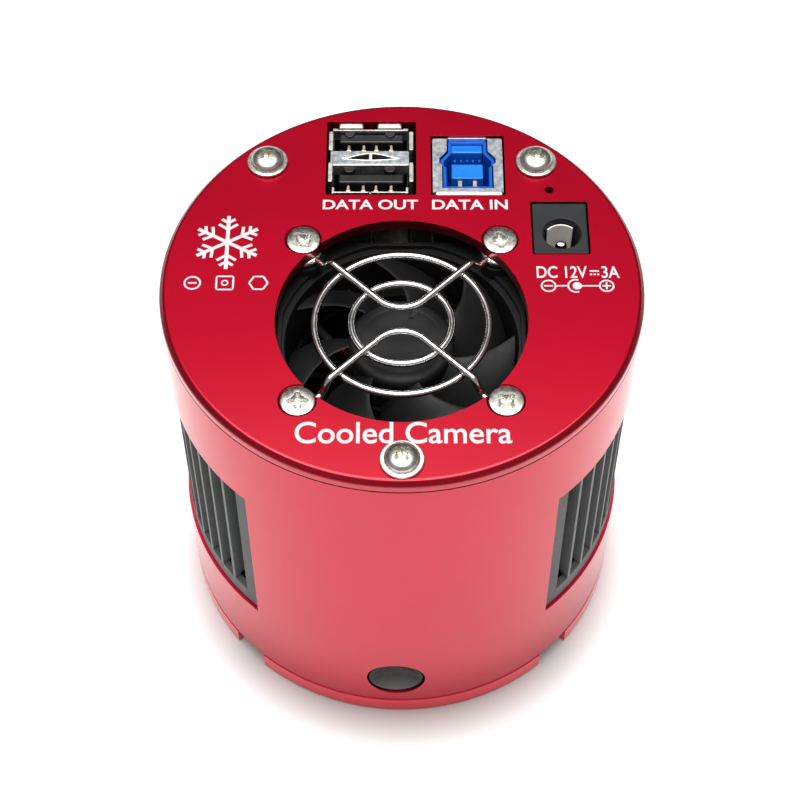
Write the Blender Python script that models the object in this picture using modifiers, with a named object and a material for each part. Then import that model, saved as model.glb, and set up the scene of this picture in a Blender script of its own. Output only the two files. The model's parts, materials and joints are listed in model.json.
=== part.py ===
"""Cooled astronomy camera, standing on its front flange.

The origin is the centre of the flange face. +Z runs up to the rear cover with its fan and
sockets, and -Y is the side with the desiccant plug. Sizes and places in this file are
millimetres, and the mesh helpers turn them into metres.
"""
from math import cos, degrees, pi, radians, sin, sqrt

import bmesh
import bpy
from mathutils import Vector

for stale in list(bpy.data.objects):
    bpy.data.objects.remove(stale, do_unlink=True)

MM = 0.001                     # one millimetre in metres
MERGE = 0.00001                # merge distance of the modifiers, in metres
GAP = 0.3                      # clearance between neighbouring solids
SEAL_GAP = 0.1                 # clearance beside seals and washers
OVERLAP = 0.5                  # how far fused shapes run into each other

# Body
BODY_RADIUS = 39.0
BODY_TOP = 75.0
BODY_STEPS = 48                # facets round the outside
INNER_STEPS = 32               # facets round hidden pieces
COVER_THICKNESS = 2.1
COVER_CHAMFER = 0.8
FRONT_THICKNESS = 4.2
WALL_INNER_RADIUS = 37.0
COVER_UNDERSIDE = BODY_TOP - COVER_THICKNESS
CASING_BOTTOM = FRONT_THICKNESS + GAP
CASING_TOP = COVER_UNDERSIDE - GAP

# Front flange, with its M42 x 0.75 thread left as a plain bore
THREAD_RADIUS = 20.6
NOTCH_WIDTH = 6.9
NOTCH_DEPTH = 4.6
NOTCH_ANGLES = (45, 135, 225, 315)
FRONT_SCREW_RADIUS = 30.0
FRONT_SCREW_ANGLES = (22.5, 112.5, 202.5, 292.5)
FRONT_SCREW_LENGTH = 9.5
FRONT_SCREW_TOP = 0.2          # how deep the flat heads sit
TAPPED_DEPTH = 11.0            # height that the tapped holes reach

# Window, sensor and cooler, from the flange inwards
GLASS_RADIUS = 16.0
GLASS_BOTTOM = 2.2
GLASS_THICKNESS = 2.0
RETAINER_RADIUS = 17.6
RETAINER_BOTTOM = 1.4
RETAINER_INNER_RADIUS = 14.6
GASKET_INNER_RADIUS = 14.4
WINDOW_SEAT = CASING_BOTTOM + 0.5
CHAMBER_RADIUS = WALL_INNER_RADIUS - GAP
CHAMBER_TOP = 20.0
CHAMBER_FRONT_WALL = 1.7
CHAMBER_CAVITY_RADIUS = 24.5
APERTURE_RADIUS = 13.9
SENSOR_PLANE = 6.5             # flange focal distance
PACKAGE_SIZE = (22.0, 16.0)
PACKAGE_BOTTOM = 5.9
PACKAGE_TOP = 8.4
DIE_POCKET = (18.5, 13.0)
DIE_SIZE = (15.2, 10.8)
DIE_THICKNESS = 0.5
COVER_GLASS_SIZE = (20.5, 14.5)
COVER_GLASS_BOTTOM = 5.1
BOARD_THICKNESS = 1.6
SENSOR_BOARD_RADIUS = 23.5
FINGER_SIZE = 11.0
COLD_PLATE_SIZE = 24.0
COLD_PLATE_BOTTOM = 11.6
COLD_PLATE_TOP = 14.0
STAGE_PLATE = 0.7              # thickness of the cooler's ceramic plates
INSULATION_BOTTOM = 10.6
UPPER_STAGE_SIZE = 20.0
UPPER_STAGE_TOP = 17.0
LOWER_STAGE_SIZE = 30.0
O_RING_RADIUS = 29.2
O_RING_WIRE = 0.85
O_RING_GROOVE_HALF_WIDTH = 1.1
O_RING_GROOVE_DEPTH = 1.7

# Desiccant plug, in the chamber's side
PLUG_X = -1.0
PLUG_HEIGHT = 11.9
PLUG_HOLE_RADIUS = 5.1
PLUG_OUTER_Y = -38.6
PLUG_LENGTH = 11.6
PLUG_CHAMFER = 0.3
PLUG_GROOVE_RADIUS = 3.65
PLUG_RING_DEPTH = 4.6          # from the plug's face to its seal
PLUG_RING_RADIUS = 4.35
PLUG_RING_WIRE = 0.5
TABLET_RADIUS = 4.4
TABLET_THICKNESS = 1.8

# Heat sink
SINK_BASE_BOTTOM = CHAMBER_TOP + GAP
SINK_BASE_TOP = 24.0
SINK_RADIUS = 36.6
FIN_TOP = 54.0
FIN_RADIUS = 34.6
FIN_THICKNESS = 1.1
FIN_PITCH = 3.6
FIN_COUNT = 19
BOARD_POST_RADIUS = 2.6
POST_HOLE_DEPTH = 8.0

# Side windows and their grilles
WINDOW_BOTTOM = 20.2
WINDOW_TOP = 56.6
WINDOW_HALF_ANGLE = 50.0
GRILLE_OUTER_RADIUS = 38.5
GRILLE_INNER_RADIUS = 35.0
GRILLE_FACE = 1.2              # thickness of the grille's face strip
GRILLE_CROWN_TOP = 59.0
SLOT_BOTTOM = 24.0
SLOT_COUNT = 17
SLOT_PITCH = 5.45              # degrees
SLAT_ANGLE = 1.0               # degrees
SLOT_ROOF = 1.6                # what is left of the crown above the slots

# Main board
BOARD_BOTTOM = 55.0
BOARD_TOP = BOARD_BOTTOM + BOARD_THICKNESS
BOARD_RADIUS = 36.4
BOARD_CUTOUT_RADIUS = 19.0
BOARD_SCREWS = ((-28.0, -6.0), (28.0, -6.0), (0.0, 15.4))
BOARD_SCREW_RADIUS = 1.2
BOARD_SCREW_HOLE_RADIUS = 1.5
BOARD_SCREW_LENGTH = 8.0
BOARD_SCREW_HEAD = (2.2, 1.3)  # radius and height

# Fan
FAN_X, FAN_Y = 0.0, -7.5
FAN_SIZE = 40.0
FAN_BOTTOM = 59.5
FAN_TOP = 69.5
FAN_POST_TOP = 71.0
FAN_CORNER = 3.0
FAN_BORE_RADIUS = 18.9
FAN_LIP_RADIUS = 19.9
FAN_LIP_HALF_WIDTH = 19.3
FAN_SCREW_OFFSET = 16.05
FAN_HOLE_RADIUS = 20.1
HUB_RADIUS = 8.6
HUB_TOP = 69.0
HUB_BOTTOM = 61.6
HUB_WALL = 0.8
BLADE_COUNT = 7
BLADE_TIP_RADIUS = 18.3
BLADE_TOP = 68.4
BLADE_BOTTOM = 61.8
BLADE_SPAN = 42.0              # degrees of turn from edge to edge
BLADE_SWEEP = 26.0             # degrees that the tip runs ahead of the root
BLADE_PHASE = 11.0             # degrees
BLADE_THICKNESS = 0.8
BLADE_ARCH = 0.9
MOTOR_BASE_TOP = 61.0
MOTOR_BASE_RADIUS = 9.0
STRUT_WIDTH = 1.8
FAN_POST_RADIUS = 3.4
MAGNET_RADII = (6.8, 7.6)
SHAFT_RADIUS = 1.0
BEARING_RADII = (1.15, 2.2)
STATOR_REACH = 6.3
STATOR_ARM_HALF_WIDTH = 1.8
STATOR_BORE_RADIUS = 2.5

# Finger guard
WIRE_RADIUS = 0.6
GUARD_RINGS = (13.9, 8.0)
GUARD_RING_Z = 73.5
GUARD_ARM_Z = 74.45
GUARD_EYE_Z = 71.9
GUARD_EYE_RADIUS = 2.5
GUARD_BEND_START = 15.6        # distance from the fan's axis
GUARD_BEND_END = 18.4
GUARD_VERTEX_RADIUS = 5.0
GUARD_VERTEX_OFFSET = 0.3

# Rear cover's screws and sockets
COVER_SCREWS = ((-22.5, 25.2), (22.5, 25.2), (0.0, -34.7))
COVER_SCREW_LENGTH = 12.0
BOSS_RADIUS = 3.8
BOSS_BOTTOM = 60.0
WASHER_RADIUS = 3.4
WASHER_THICKNESS = 0.5
PAN_HEAD = (2.8, 1.5)          # radius and height
M3_RADIUS = 1.4
M3_HOLE_RADIUS = 1.7
FLAT_HEAD_RADIUS = 2.75
SINK_MOUTH_RADIUS = 3.05
FAN_SCREW_DEPTH = 0.1          # how deep the flat heads sit
FAN_SCREW_LENGTH = 14.0
CROSS_DEPTH = 1.1
CROSS_HALF_WIDTH = 0.4
SCREW_STEPS = 12
USB_OUTPUT_AT = (-5.15, 26.4)
USB_OUTPUT_OPENING = (15.1, 16.5)
USB_INPUT_AT = (11.06, 24.73)
USB_INPUT_OPENING = (12.4, 13.35)
JACK_AT = (25.93, 11.02)
JACK_OPENING = (9.45, 11.25)
JACK_TOP = BODY_TOP - 0.15
JACK_BARREL_AT = (26.2, 9.97)
JACK_BARREL_RADIUS = 3.15
JACK_BARREL_DEPTH = 9.5
JACK_PIN_RADIUS = 1.0
JACK_PIN_TOP = 72.5
JACK_SPRING_RADII = (2.65, 2.9)
JACK_SPRING_ANGLES = (47, 143)
JACK_SPRING_TOP = 73.7
LIGHT_AT = (24.5, 19.2)
LIGHT_HOLE_RADIUS = 0.75
LIGHT_RADIUS = 0.45
SOCKET_BOTTOM = BOARD_TOP + GAP
SOCKET_TOP = 74.6

# Output sockets: the two mouths between their near and far edges, and what is in them
USB_OUTPUT_MOUTHS = (("upper", 28.55, 33.9), ("lower", 19.45, 24.85))
USB_OUTPUT_MOUTH_WIDTH = 12.6
USB_OUTPUT_MOUTH_DEPTH = 10.0
USB_OUTPUT_TONGUE = (10.9, 1.9)
USB_OUTPUT_TONGUE_TOP = SOCKET_TOP - 0.9

# Input socket, from its centre
USB_INPUT_MOUTH_DEPTH = 11.0
USB_INPUT_TONGUE_TOP = SOCKET_TOP - 0.6
USB_INPUT_LOWER_TONGUE = ((5.3, 3.2), (0.0, -0.5))
USB_INPUT_UPPER_TONGUE = ((5.4, 2.0), (-0.1, 4.6))
INSULATOR_WALL = 0.6
INSULATOR_FLOOR = 2.0

# Fan lead
LEAD_RADIUS = 0.6
LEAD_PATH = ((-8.6, -3.0, 58.6), (-10.5, -1.6, 58.6), (-12.5, 0.6, 58.5), (-14.6, 4.0, 58.2),
             (-16.6, 8.0, 57.8), (-18.5, 12.0, 57.7), (-20.0, 15.0, 57.7))

PARTS = bpy.data.collections.new("cooled_astronomy_camera")
TOOLS = bpy.data.collections.new("cutters")
for group in (PARTS, TOOLS):
    bpy.context.scene.collection.children.link(group)


# ---------------------------------------------------------------- materials

def surface(name, color, roughness, metallic=0.0, transmission=0.0):
    material = bpy.data.materials.new(name)
    material.use_nodes = True
    shader = material.node_tree.nodes["Principled BSDF"]
    shader.inputs["Base Color"].default_value = (*color, 1.0)
    shader.inputs["Roughness"].default_value = roughness
    shader.inputs["Metallic"].default_value = metallic
    shader.inputs["Transmission Weight"].default_value = transmission
    return material


RED = surface("red_anodised", (0.55, 0.01, 0.03), 0.35, 0.8)
GREY = surface("grey_plastic", (0.13, 0.14, 0.14), 0.5)
BLACK = surface("black_plastic", (0.012, 0.012, 0.013), 0.45)
STEEL = surface("stainless_steel", (0.62, 0.61, 0.58), 0.25, 1.0)
CHROME = surface("chromed_wire", (0.8, 0.8, 0.8), 0.08, 1.0)
SHELL = surface("socket_shell", (0.6, 0.6, 0.6), 0.3, 1.0)
BLUE = surface("blue_plastic", (0.01, 0.12, 0.7), 0.4)
ALUMINIUM = surface("plain_aluminium", (0.5, 0.5, 0.52), 0.4, 1.0)
DARK_ALUMINIUM = surface("black_anodised", (0.02, 0.02, 0.022), 0.4, 0.6)
RUBBER = surface("black_rubber", (0.015, 0.015, 0.015), 0.7)
BOARD = surface("circuit_board", (0.01, 0.10, 0.03), 0.5)
CERAMIC = surface("ceramic", (0.8, 0.8, 0.78), 0.5)
GLASS = surface("coated_glass", (0.9, 0.95, 0.95), 0.02, 0.0, 1.0)
SILICON = surface("image_sensor", (0.08, 0.06, 0.12), 0.15, 0.5)
COPPER = surface("copper", (0.7, 0.3, 0.15), 0.3, 1.0)
BRASS = surface("brass", (0.6, 0.45, 0.2), 0.3, 1.0)
DESICCANT = surface("desiccant", (0.75, 0.75, 0.7), 0.9)
MAGNET = surface("magnet", (0.05, 0.05, 0.05), 0.6)
LEAD = surface("red_wire", (0.5, 0.02, 0.02), 0.5)


# ------------------------------------------------------------ mesh helpers

def placed(name, mesh, at, material):
    """Link a mesh as an object whose origin is at a point."""
    mesh.shade_smooth()
    mesh.set_sharp_from_angle(angle=radians(35))
    if material:
        mesh.materials.append(material)
    obj = bpy.data.objects.new(name, mesh)
    obj.location = Vector(at) * MM
    PARTS.objects.link(obj)
    return obj


def from_bmesh(name, bm, at=(0, 0, 0), material=None):
    bmesh.ops.scale(bm, vec=(MM, MM, MM), verts=bm.verts)
    bmesh.ops.recalc_face_normals(bm, faces=bm.faces)
    mesh = bpy.data.meshes.new(name)
    bm.to_mesh(mesh)
    bm.free()
    return placed(name, mesh, at, material)


def box(name, size, at, bottom, top, material=None):
    """A box of a width and depth round a point, from one height to another."""
    bm = bmesh.new()
    bmesh.ops.create_cube(bm, size=1.0)
    bmesh.ops.scale(bm, vec=(size[0], size[1], top - bottom), verts=bm.verts)
    bmesh.ops.translate(bm, vec=(0, 0, (top - bottom) / 2), verts=bm.verts)
    return from_bmesh(name, bm, (at[0], at[1], bottom), material)


def cylinder(name, radius, bottom, top, at=(0, 0), material=None, steps=24, top_radius=None):
    bm = bmesh.new()
    bmesh.ops.create_cone(bm, cap_ends=True, segments=steps, radius1=radius,
                          radius2=radius if top_radius is None else top_radius,
                          depth=top - bottom)
    bmesh.ops.translate(bm, vec=(0, 0, (top - bottom) / 2), verts=bm.verts)
    return from_bmesh(name, bm, (at[0], at[1], bottom), material)


def turned(name, profile, at=(0, 0, 0), material=None, steps=24, closed=True):
    """Turn a profile of (radius, height) points, which runs down its outer side."""
    count = len(profile)
    edges = [(i, i + 1) for i in range(count - 1)]
    if closed:
        edges.append((count - 1, 0))
    mesh = bpy.data.meshes.new(name)
    mesh.from_pydata([(r * MM, 0, z * MM) for r, z in profile], edges, [])
    obj = placed(name, mesh, at, material)
    screw = obj.modifiers.new("turn", "SCREW")
    screw.steps = screw.render_steps = steps
    screw.use_merge_vertices = True
    screw.merge_threshold = MERGE
    screw.use_smooth_shade = True
    return obj


def ring(name, inner, outer, bottom, top, at=(0, 0), material=None, steps=24, chamfer=0.0):
    """A flat ring, with an optional chamfer on its outer edges."""
    profile = [(inner, top), (outer - chamfer, top), (outer, top - chamfer),
               (outer, bottom + chamfer), (outer - chamfer, bottom), (inner, bottom)]
    if not chamfer:
        profile = [(inner, top), (outer, top), (outer, bottom), (inner, bottom)]
    return turned(name, profile, (at[0], at[1], 0), material, steps)


def torus(name, radius, wire, at, material=None, steps=(24, 6)):
    bpy.ops.mesh.primitive_torus_add(major_segments=steps[0], minor_segments=steps[1],
                                     major_radius=radius * MM, minor_radius=wire * MM,
                                     location=Vector(at) * MM)
    obj = bpy.context.object
    obj.name = name
    for owner in list(obj.users_collection):
        owner.objects.unlink(obj)
    PARTS.objects.link(obj)
    obj.data.shade_smooth()
    if material:
        obj.data.materials.append(material)
    return obj


def prism(name, outlines, bottom, top, at=(0, 0), material=None):
    """Extrude one or more separate flat outlines, each a list of (x, y)."""
    bm = bmesh.new()
    for outline in outlines:
        face = bm.faces.new([bm.verts.new((x, y, 0)) for x, y in outline])
        raised = bmesh.ops.extrude_face_region(bm, geom=[face])["geom"]
        moved = [part for part in raised if isinstance(part, bmesh.types.BMVert)]
        bmesh.ops.translate(bm, vec=(0, 0, top - bottom), verts=moved)
    return from_bmesh(name, bm, (at[0], at[1], bottom), material)


def tube(name, points, radius, material=None, detail=1):
    """A round wire along points, with filled caps welded to it."""
    curve = bpy.data.curves.new(name, "CURVE")
    curve.dimensions = "3D"
    curve.bevel_depth = radius * MM
    curve.bevel_resolution = detail
    curve.use_fill_caps = True
    spline = curve.splines.new("POLY")
    spline.points.add(len(points) - 1)
    for point, (x, y, z) in zip(spline.points, points):
        point.co = (x * MM, y * MM, z * MM, 1)
    wire = bpy.data.objects.new(name + "_path", curve)
    PARTS.objects.link(wire)
    bpy.context.view_layer.update()
    mesh = bpy.data.meshes.new_from_object(wire.evaluated_get(bpy.context.evaluated_depsgraph_get()))
    bpy.data.objects.remove(wire, do_unlink=True)
    bm = bmesh.new()
    bm.from_mesh(mesh)
    bmesh.ops.remove_doubles(bm, verts=bm.verts, dist=MERGE)
    bmesh.ops.recalc_face_normals(bm, faces=bm.faces)
    bm.to_mesh(mesh)
    bm.free()
    mesh.name = name
    return placed(name, mesh, (0, 0, 0), material)


def as_tool(obj):
    """Move a cutter, or a shape that is fused into another, out of the parts."""
    PARTS.objects.unlink(obj)
    TOOLS.objects.link(obj)
    obj.hide_render = True
    obj.display_type = "WIRE"


def combine(target, operation, tools):
    for tool in tools:
        as_tool(tool)
        step = target.modifiers.new(tool.name, "BOOLEAN")
        step.operation = operation
        step.solver = "EXACT"
        step.object = tool
    return target


def cut(target, *tools):
    return combine(target, "DIFFERENCE", tools)


def fuse(target, *tools):
    return combine(target, "UNION", tools)


def polar(radius, angle):
    return radius * cos(radians(angle)), radius * sin(radians(angle))


def sector_outline(inner, outer, start, end, steps):
    """Outline of a piece of a ring, between two angles in degrees."""
    angles = [start + (end - start) * i / steps for i in range(steps + 1)]
    return [polar(outer, a) for a in angles] + [polar(inner, a) for a in reversed(angles)]


def rectangle(half_x, half_y):
    return [(half_x, half_y), (-half_x, half_y), (-half_x, -half_y), (half_x, -half_y)]


def cross_outline(reach, half_width):
    """Outline of a screwdriver cross."""
    quarter = [(reach, -half_width), (reach, half_width), (half_width, half_width)]
    outline = []
    for turn in range(4):
        c, s = (1, 0, -1, 0)[turn], (0, 1, 0, -1)[turn]
        outline += [(x * c - y * s, x * s + y * c) for x, y in quarter]
    return outline


# ------------------------------------------------------------------ screws

def cross_cut(screw, at, top, reach, turn):
    """Cut a screwdriver cross into a head from its top."""
    recess = prism(screw.name + "_cross", [cross_outline(reach, CROSS_HALF_WIDTH)],
                   top - CROSS_DEPTH, top + OVERLAP, at)
    recess.rotation_euler.z = radians(turn)
    return cut(screw, recess)


def pan_screw(name, at, seat, length, turn, radius=M3_RADIUS, head=PAN_HEAD):
    """A pan-head screw whose head sits at a height, with its shank below it."""
    wide, height = head
    profile = [(0, height), (wide * 0.55, height * 0.95), (wide * 0.9, height * 0.6),
               (wide, height * 0.15), (wide, 0), (radius, 0), (radius, -length), (0, -length)]
    screw = turned(name, profile, (at[0], at[1], seat), STEEL, SCREW_STEPS, closed=False)
    return cross_cut(screw, at, seat + height, wide * 0.65, turn)


def flat_profile(head, rim, radius, length):
    """Half outline of a countersunk head with a short straight rim, and its shank."""
    neck = -rim - (head - radius)
    return [(0, 0), (head, 0), (head, -rim), (radius, neck), (radius, -length), (0, -length)]


def flat_screw(name, at, top, length, turn):
    """A countersunk M3 screw, its flat head's top at a height."""
    profile = flat_profile(FLAT_HEAD_RADIUS, 0.25, M3_RADIUS, length)
    screw = turned(name, profile, (at[0], at[1], top), STEEL, SCREW_STEPS, closed=False)
    return cross_cut(screw, at, top, FLAT_HEAD_RADIUS * 0.64, turn)


def countersink(name, at, face, depth):
    """Cutter for a countersunk M3 screw that goes down from a face."""
    profile = flat_profile(SINK_MOUTH_RADIUS, 0.3, M3_HOLE_RADIUS, depth)
    profile = [(0, OVERLAP), (SINK_MOUTH_RADIUS, OVERLAP)] + profile[2:]
    return turned(name, profile, (at[0], at[1], face), None, SCREW_STEPS, closed=False)


def upside_down(obj):
    """Mirror a turned piece about the floor, so that what faced up faces down."""
    obj.rotation_euler.x = pi
    obj.location.z = -obj.location.z


# ------------------------------------------------------- front and chamber

def front_plate():
    plate = ring("front_plate", THREAD_RADIUS, BODY_RADIUS, 0, FRONT_THICKNESS,
                 material=RED, steps=BODY_STEPS, chamfer=0.4)
    for angle in NOTCH_ANGLES:
        centre = polar(BODY_RADIUS - NOTCH_DEPTH + NOTCH_WIDTH / 2, angle)
        half = NOTCH_WIDTH / 2
        arc = [polar(half, a) for a in range(90, 271, 30)]
        notch = prism(f"notch_{angle}", [arc + [(2 * half, -half), (2 * half, half)]],
                      -OVERLAP, FRONT_THICKNESS + OVERLAP, centre)
        notch.rotation_euler.z = radians(angle)
        cut(plate, notch)
    for number, angle in enumerate(FRONT_SCREW_ANGLES, 1):
        at = polar(FRONT_SCREW_RADIUS, angle)
        hole = countersink(f"front_hole_{number}", at, 0, FRONT_THICKNESS + OVERLAP)
        upside_down(hole)
        cut(plate, hole)
        name = f"front_plate_screw_{number}"
        upside_down(flat_screw(name, at, -FRONT_SCREW_TOP, FRONT_SCREW_LENGTH, turn=20))
        upside_down(bpy.data.objects[name + "_cross"])


def window():
    glass_top = GLASS_BOTTOM + GLASS_THICKNESS
    cylinder("window_glass", GLASS_RADIUS, GLASS_BOTTOM, glass_top, material=GLASS, steps=32)
    ring("window_gasket", GASKET_INNER_RADIUS, GLASS_RADIUS - SEAL_GAP, glass_top + SEAL_GAP,
         WINDOW_SEAT - SEAL_GAP, material=RUBBER)
    lip = GLASS_BOTTOM - GAP
    turned("window_retainer", [
        (RETAINER_RADIUS, RETAINER_BOTTOM), (RETAINER_INNER_RADIUS, RETAINER_BOTTOM),
        (RETAINER_INNER_RADIUS, lip), (GLASS_RADIUS + GAP, lip),
        (GLASS_RADIUS + GAP, CASING_BOTTOM - GAP), (RETAINER_RADIUS, CASING_BOTTOM - GAP)],
        material=DARK_ALUMINIUM)


def sensor_chamber():
    wall_top = CASING_BOTTOM + CHAMBER_FRONT_WALL
    groove = CHAMBER_TOP - O_RING_GROOVE_DEPTH
    inner = O_RING_RADIUS - O_RING_GROOVE_HALF_WIDTH
    outer = O_RING_RADIUS + O_RING_GROOVE_HALF_WIDTH
    chamber = turned("sensor_chamber", [
        (CHAMBER_RADIUS, CHAMBER_TOP), (CHAMBER_RADIUS, CASING_BOTTOM),
        (GLASS_RADIUS + GAP, CASING_BOTTOM), (GLASS_RADIUS + GAP, WINDOW_SEAT),
        (APERTURE_RADIUS, WINDOW_SEAT), (APERTURE_RADIUS, wall_top),
        (CHAMBER_CAVITY_RADIUS, wall_top), (CHAMBER_CAVITY_RADIUS, CHAMBER_TOP),
        (inner, CHAMBER_TOP), (inner, groove), (outer, groove), (outer, CHAMBER_TOP),
    ], material=DARK_ALUMINIUM, steps=INNER_STEPS)
    for number, angle in enumerate(FRONT_SCREW_ANGLES, 1):
        at = polar(FRONT_SCREW_RADIUS, angle)
        cut(chamber, cylinder(f"tapped_{number}", M3_HOLE_RADIUS, CASING_BOTTOM - OVERLAP,
                              TAPPED_DEPTH, at, steps=SCREW_STEPS))
    cut(chamber, plug_bore("chamber_plug_bore"))
    torus("chamber_o_ring", O_RING_RADIUS, O_RING_WIRE,
          (0, 0, groove + SEAL_GAP + O_RING_WIRE), RUBBER)


def plug_bore(name):
    """Cutter along -Y for the hole that the desiccant plug closes."""
    bore = cylinder(name, PLUG_HOLE_RADIUS, 0, BODY_RADIUS)
    bore.location = Vector((PLUG_X, 0, PLUG_HEIGHT)) * MM
    bore.rotation_euler.x = radians(90)
    return bore


def sensor():
    board_bottom = PACKAGE_TOP + GAP
    board_top = board_bottom + BOARD_THICKNESS
    box("sensor_cover_glass", COVER_GLASS_SIZE, (0, 0), COVER_GLASS_BOTTOM, PACKAGE_BOTTOM - GAP,
        GLASS)
    package = box("sensor_package", PACKAGE_SIZE, (0, 0), PACKAGE_BOTTOM, PACKAGE_TOP, CERAMIC)
    cut(package, box("die_pocket", DIE_POCKET, (0, 0), PACKAGE_BOTTOM - OVERLAP,
                     SENSOR_PLANE + DIE_THICKNESS + GAP))
    box("image_sensor", DIE_SIZE, (0, 0), SENSOR_PLANE, SENSOR_PLANE + DIE_THICKNESS, SILICON)
    board = cylinder("sensor_board", SENSOR_BOARD_RADIUS, board_bottom, board_top, material=BOARD,
                     steps=BODY_STEPS)
    cut(board, box("finger_window", (FINGER_SIZE + 1, FINGER_SIZE + 1), (0, 0),
                   board_bottom - OVERLAP, board_top + OVERLAP))


def cooler():
    finger = box("cold_finger", (COLD_PLATE_SIZE,) * 2, (0, 0), COLD_PLATE_BOTTOM, COLD_PLATE_TOP,
                 COPPER)
    fuse(finger, box("finger_tip", (FINGER_SIZE,) * 2, (0, 0), PACKAGE_TOP + GAP,
                     COLD_PLATE_BOTTOM + OVERLAP))
    for name, size, bottom, top in (
            ("cooler_upper_stage", UPPER_STAGE_SIZE, COLD_PLATE_TOP + GAP, UPPER_STAGE_TOP),
            ("cooler_lower_stage", LOWER_STAGE_SIZE, UPPER_STAGE_TOP + GAP, CHAMBER_TOP)):
        stage = box(name, (size, size), (0, 0), bottom, bottom + STAGE_PLATE, CERAMIC)
        half = STAGE_PLATE / 2
        fuse(stage,
             box(name + "_pellets", (size - 2, size - 2), (0, 0), bottom + half, top - half),
             box(name + "_plate", (size, size), (0, 0), top - STAGE_PLATE, top))
    frame = cylinder("insulating_frame", CHAMBER_CAVITY_RADIUS - GAP, INSULATION_BOTTOM,
                     CHAMBER_TOP, material=BLACK, steps=BODY_STEPS)
    cut(frame, box("cooler_window", (LOWER_STAGE_SIZE + 2 * GAP,) * 2, (0, 0),
                   INSULATION_BOTTOM - OVERLAP, CHAMBER_TOP + OVERLAP))


def plug():
    """Desiccant plug, with its seal in a groove and the tablet behind it."""
    radius = PLUG_HOLE_RADIUS - GAP
    half = PLUG_RING_WIRE + 0.15
    profile = [(0, 0), (radius - PLUG_CHAMFER, 0), (radius, -PLUG_CHAMFER),
               (radius, -PLUG_RING_DEPTH + half), (PLUG_GROOVE_RADIUS, -PLUG_RING_DEPTH + half),
               (PLUG_GROOVE_RADIUS, -PLUG_RING_DEPTH - half), (radius, -PLUG_RING_DEPTH - half),
               (radius, -PLUG_LENGTH), (0, -PLUG_LENGTH)]
    body = turned("desiccant_plug", profile, (PLUG_X, PLUG_OUTER_Y, PLUG_HEIGHT), BLACK, 24,
                  closed=False)
    seal = torus("plug_o_ring", PLUG_RING_RADIUS, PLUG_RING_WIRE,
                 (PLUG_X, PLUG_OUTER_Y + PLUG_RING_DEPTH, PLUG_HEIGHT), RUBBER, (16, 6))
    tablet = cylinder("desiccant_tablet", TABLET_RADIUS, 0, TABLET_THICKNESS, material=DESICCANT)
    tablet.location = Vector((PLUG_X, PLUG_OUTER_Y + PLUG_LENGTH + GAP, PLUG_HEIGHT)) * MM
    body.rotation_euler.x = seal.rotation_euler.x = radians(90)
    tablet.rotation_euler.x = radians(-90)


# ------------------------------------------------------ casing and cooling

def casing():
    shell = ring("casing_shell", WALL_INNER_RADIUS, BODY_RADIUS, CASING_BOTTOM, CASING_TOP,
                 material=RED, steps=BODY_STEPS)
    for side, middle in (("right", 0), ("left", 180)):
        cut(shell, prism(f"window_{side}", [sector_outline(
            WALL_INNER_RADIUS - 2, BODY_RADIUS + 2, middle - WINDOW_HALF_ANGLE,
            middle + WINDOW_HALF_ANGLE, 12)], WINDOW_BOTTOM, WINDOW_TOP))
    cut(shell, plug_bore("casing_plug_bore"))
    for number, at in enumerate(COVER_SCREWS, 1):
        fuse(shell, cylinder(f"boss_{number}", BOSS_RADIUS, BOSS_BOTTOM, CASING_TOP, at, steps=20))
        cut(shell, cylinder(f"boss_hole_{number}", M3_HOLE_RADIUS, BOSS_BOTTOM + 2,
                            CASING_TOP + OVERLAP, at, steps=SCREW_STEPS))


def vent_grille(side, middle):
    """A curved grille whose slots run up behind the window's top edge."""
    edge = WINDOW_HALF_ANGLE - degrees(GAP / BODY_RADIUS)
    grille = prism(f"vent_grille_{side}", [sector_outline(
        GRILLE_INNER_RADIUS, GRILLE_OUTER_RADIUS, middle - edge, middle + edge, 12)],
        WINDOW_BOTTOM + GAP, GRILLE_CROWN_TOP, material=GREY)
    wide = edge + 4
    behind_face = GRILLE_OUTER_RADIUS - GRILLE_FACE
    foot = prism(f"foot_relief_{side}", [sector_outline(
        GRILLE_INNER_RADIUS - 1, behind_face, middle - wide, middle + wide, 12)],
        WINDOW_BOTTOM - OVERLAP, SLOT_BOTTOM + OVERLAP)
    crown = prism(f"crown_relief_{side}", [sector_outline(
        WALL_INNER_RADIUS - GAP, BODY_RADIUS + 1, middle - wide, middle + wide, 12)],
        WINDOW_TOP - GAP, GRILLE_CROWN_TOP + OVERLAP)
    slots = []
    for number in range(SLOT_COUNT):
        centre = middle + (number - (SLOT_COUNT - 1) / 2) * SLOT_PITCH
        half = (SLOT_PITCH - SLAT_ANGLE) / 2
        slots.append(sector_outline(GRILLE_INNER_RADIUS - 1, BODY_RADIUS + 1,
                                    centre - half, centre + half, 1))
    slits = prism(f"slots_{side}", slots, SLOT_BOTTOM, GRILLE_CROWN_TOP - SLOT_ROOF)
    return cut(grille, foot, crown, slits)


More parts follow.
